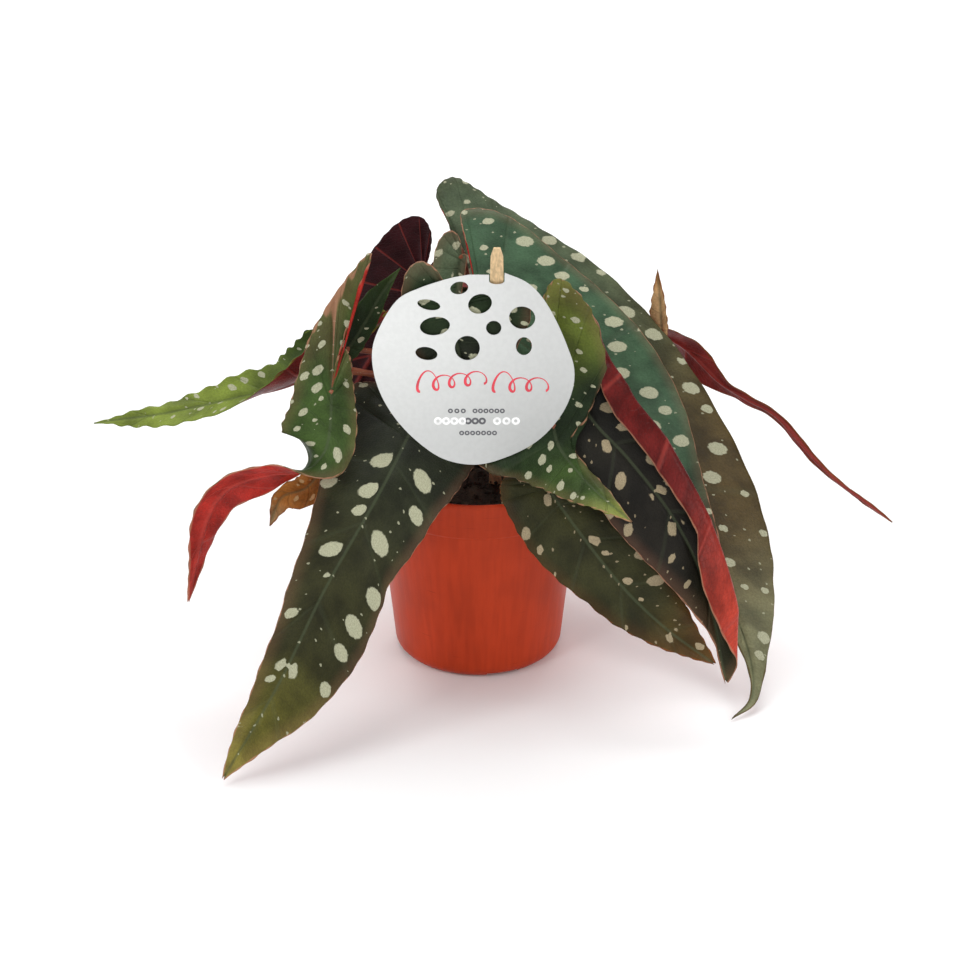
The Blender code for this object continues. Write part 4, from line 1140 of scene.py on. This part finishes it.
class BEGONIA_OT_stick(bpy.types.Operator):
    """Make the flat wooden stick with its rounded, tapered top"""
    bl_idname = "begonia.stick"
    bl_label = "Stick"

    def execute(self, context):
        size = settings(context, "card")
        reach = (STICK_TOP - STICK_FOOT).length
        bpy.ops.object.select_all(action="DESELECT")
        bpy.ops.mesh.primitive_cube_add(size=1.0, scale=(STICK_WIDTH, STICK_DEPTH, reach))
        stick = settle(added("stick_wood"))
        bpy.ops.object.mode_set(mode="EDIT")
        bpy.ops.mesh.select_all(action="SELECT")
        bpy.ops.mesh.subdivide(number_cuts=31)
        bpy.ops.object.mode_set(mode="OBJECT")
        for vertex in stick.data.vertices:
            below = reach / 2 - vertex.co.z
            neck = 0.90 + 0.10 * min(1.0, below / 0.018)
            crown = math.sqrt(max(0.0, 1 - (1 - min(1.0, below / 0.0024)) ** 2)) * 0.45 + 0.55
            vertex.co.x *= neck * crown
            vertex.co.y *= crown
        round_off = stick.modifiers.new("edges", "BEVEL")
        round_off.width = 0.0006
        round_off.segments = 3
        apply_modifiers(stick)
        stick.location = (STICK_TOP + STICK_FOOT) / 2
        lean = (STICK_TOP - STICK_FOOT).normalized().to_track_quat("Z", "Y").to_euler()
        stick.rotation_euler = lean
        settle(stick)
        smooth(stick, 40)
        wood, tree, shader = new_material("stick_wood", Specular_IOR_Level=0.35)
        place = add(tree, "TexCoord").outputs["Object"]
        along_grain = add(tree, "Mapping", {"Vector": place, "Rotation": (-lean.x, 0, 0),
                                            "Scale": (900, 900, 22)})
        grain = cloud(tree, along_grain.outputs[0], 1.0, 4.0)
        tone = ramp(tree, grain, 0.3, 0.7, 0.72, 1.12)
        tint = mix(tree, 1.0, rgba(size.wood),
                   grey(tree, tone),
                   "MULTIPLY")
        tree.links.new(tint, shader.inputs["Base Color"])
        tree.links.new(ramp(tree, grain, 0.3, 0.7, 0.55, 0.75), shader.inputs["Roughness"])
        tree.links.new(bump(tree, grain, 0.0003), shader.inputs["Normal"])
        hand_over(stick, "card_stick", wood)
        return {"FINISHED"}


class BEGONIA_OT_stage(bpy.types.Operator):
    """Set the camera, a plain pale floor and soft studio lights"""
    bl_idname = "begonia.stage"
    bl_label = "Stage"

    def execute(self, context):
        size = settings(context, "stage")
        bpy.ops.object.select_all(action="DESELECT")
        bpy.ops.mesh.primitive_plane_add(size=size.floor_size)
        floor = added("floor")
        paint, tree, shader = new_material("floor_paint", Roughness=0.9, Specular_IOR_Level=0.1)
        shader.inputs["Base Color"].default_value = rgba(size.floor_colour)
        floor.data.materials.append(paint)
        bpy.ops.object.camera_add(location=(0.001, -1.096, 0.608), rotation=(math.radians(65.25), 0, 0))
        camera = bpy.context.object
        camera.name = "camera"
        camera.data.lens = size.lens
        camera.data.sensor_width = 36.0
        context.scene.camera = camera
        plant = (0.0, 0.0, 0.13)
        lamps = (("key", (-1.5, -1.3, 1.5), plant, 1.1, 0.95), ("fill", (1.6, -1.1, 1.1), plant, 1.0, 0.70),
                 ("front", (0.1, -2.2, 1.6), plant, 1.4, 0.42), ("top", (0.0, 0.5, 2.2), plant, 1.6, 0.85),
                 ("far", (0.0, 2.2, 2.4), (0.0, 2.0, 0.0), 2.6, 2.2))
        for name, place, aim, wide, share in lamps:
            bpy.ops.object.light_add(type="AREA", location=place)
            lamp = bpy.context.object
            lamp.name = name + "_light"
            lamp.data.shape = "SQUARE"
            lamp.data.size = wide
            lamp.data.energy = size.key_power * share
            lamp.rotation_euler = (Vector(aim) - Vector(place)).to_track_quat("-Z", "Y").to_euler()
        world = bpy.data.worlds.new("studio")
        world.use_nodes = True
        air = world.node_tree.nodes["Background"]
        air.inputs["Color"].default_value = (1.0, 1.0, 1.0, 1.0)
        air.inputs["Strength"].default_value = size.air
        context.scene.world = world
        context.scene.view_settings.view_transform = "Standard"
        return {"FINISHED"}


class BEGONIA_PT_panel(bpy.types.Panel):
    """The begonia's steps and sizes"""
    bl_idname = "BEGONIA_PT_panel"
    bl_label = "Begonia"
    bl_space_type = "VIEW_3D"
    bl_region_type = "UI"
    bl_category = "Begonia"

    def draw(self, context):
        for step in STEPS:
            self.layout.operator(step.bl_idname)
        for name, group in GROUPS.items():
            box = self.layout.box()
            box.label(text=group.__name__)
            for key in group.__annotations__:
                box.prop(settings(context, name), key)


GROUPS = {"pot": BegoniaPot, "leaves": BegoniaLeaves, "card": BegoniaCard, "stage": BegoniaStage}
STEPS = [BEGONIA_OT_pot, BEGONIA_OT_soil, BEGONIA_OT_stems, BEGONIA_OT_blades, BEGONIA_OT_card,
         BEGONIA_OT_stick,
         BEGONIA_OT_stage]


def register():
    for kind in [*GROUPS.values(), *STEPS, BEGONIA_PT_panel]:
        bpy.utils.register_class(kind)
    for name, kind in GROUPS.items():
        setattr(bpy.types.Scene, "begonia_" + name, bpy.props.PointerProperty(type=kind))


def unregister():
    for name in GROUPS:
        delattr(bpy.types.Scene, "begonia_" + name)
    for kind in reversed([*GROUPS.values(), *STEPS, BEGONIA_PT_panel]):
        bpy.utils.unregister_class(kind)


def main():
    register()
    bpy.ops.begonia.pot()
    bpy.ops.begonia.soil()
    bpy.ops.begonia.stems()
    bpy.ops.begonia.blades()
    bpy.ops.begonia.card()
    bpy.ops.begonia.stick()
    bpy.ops.begonia.stage()


if __name__ == "__main__":
    main()
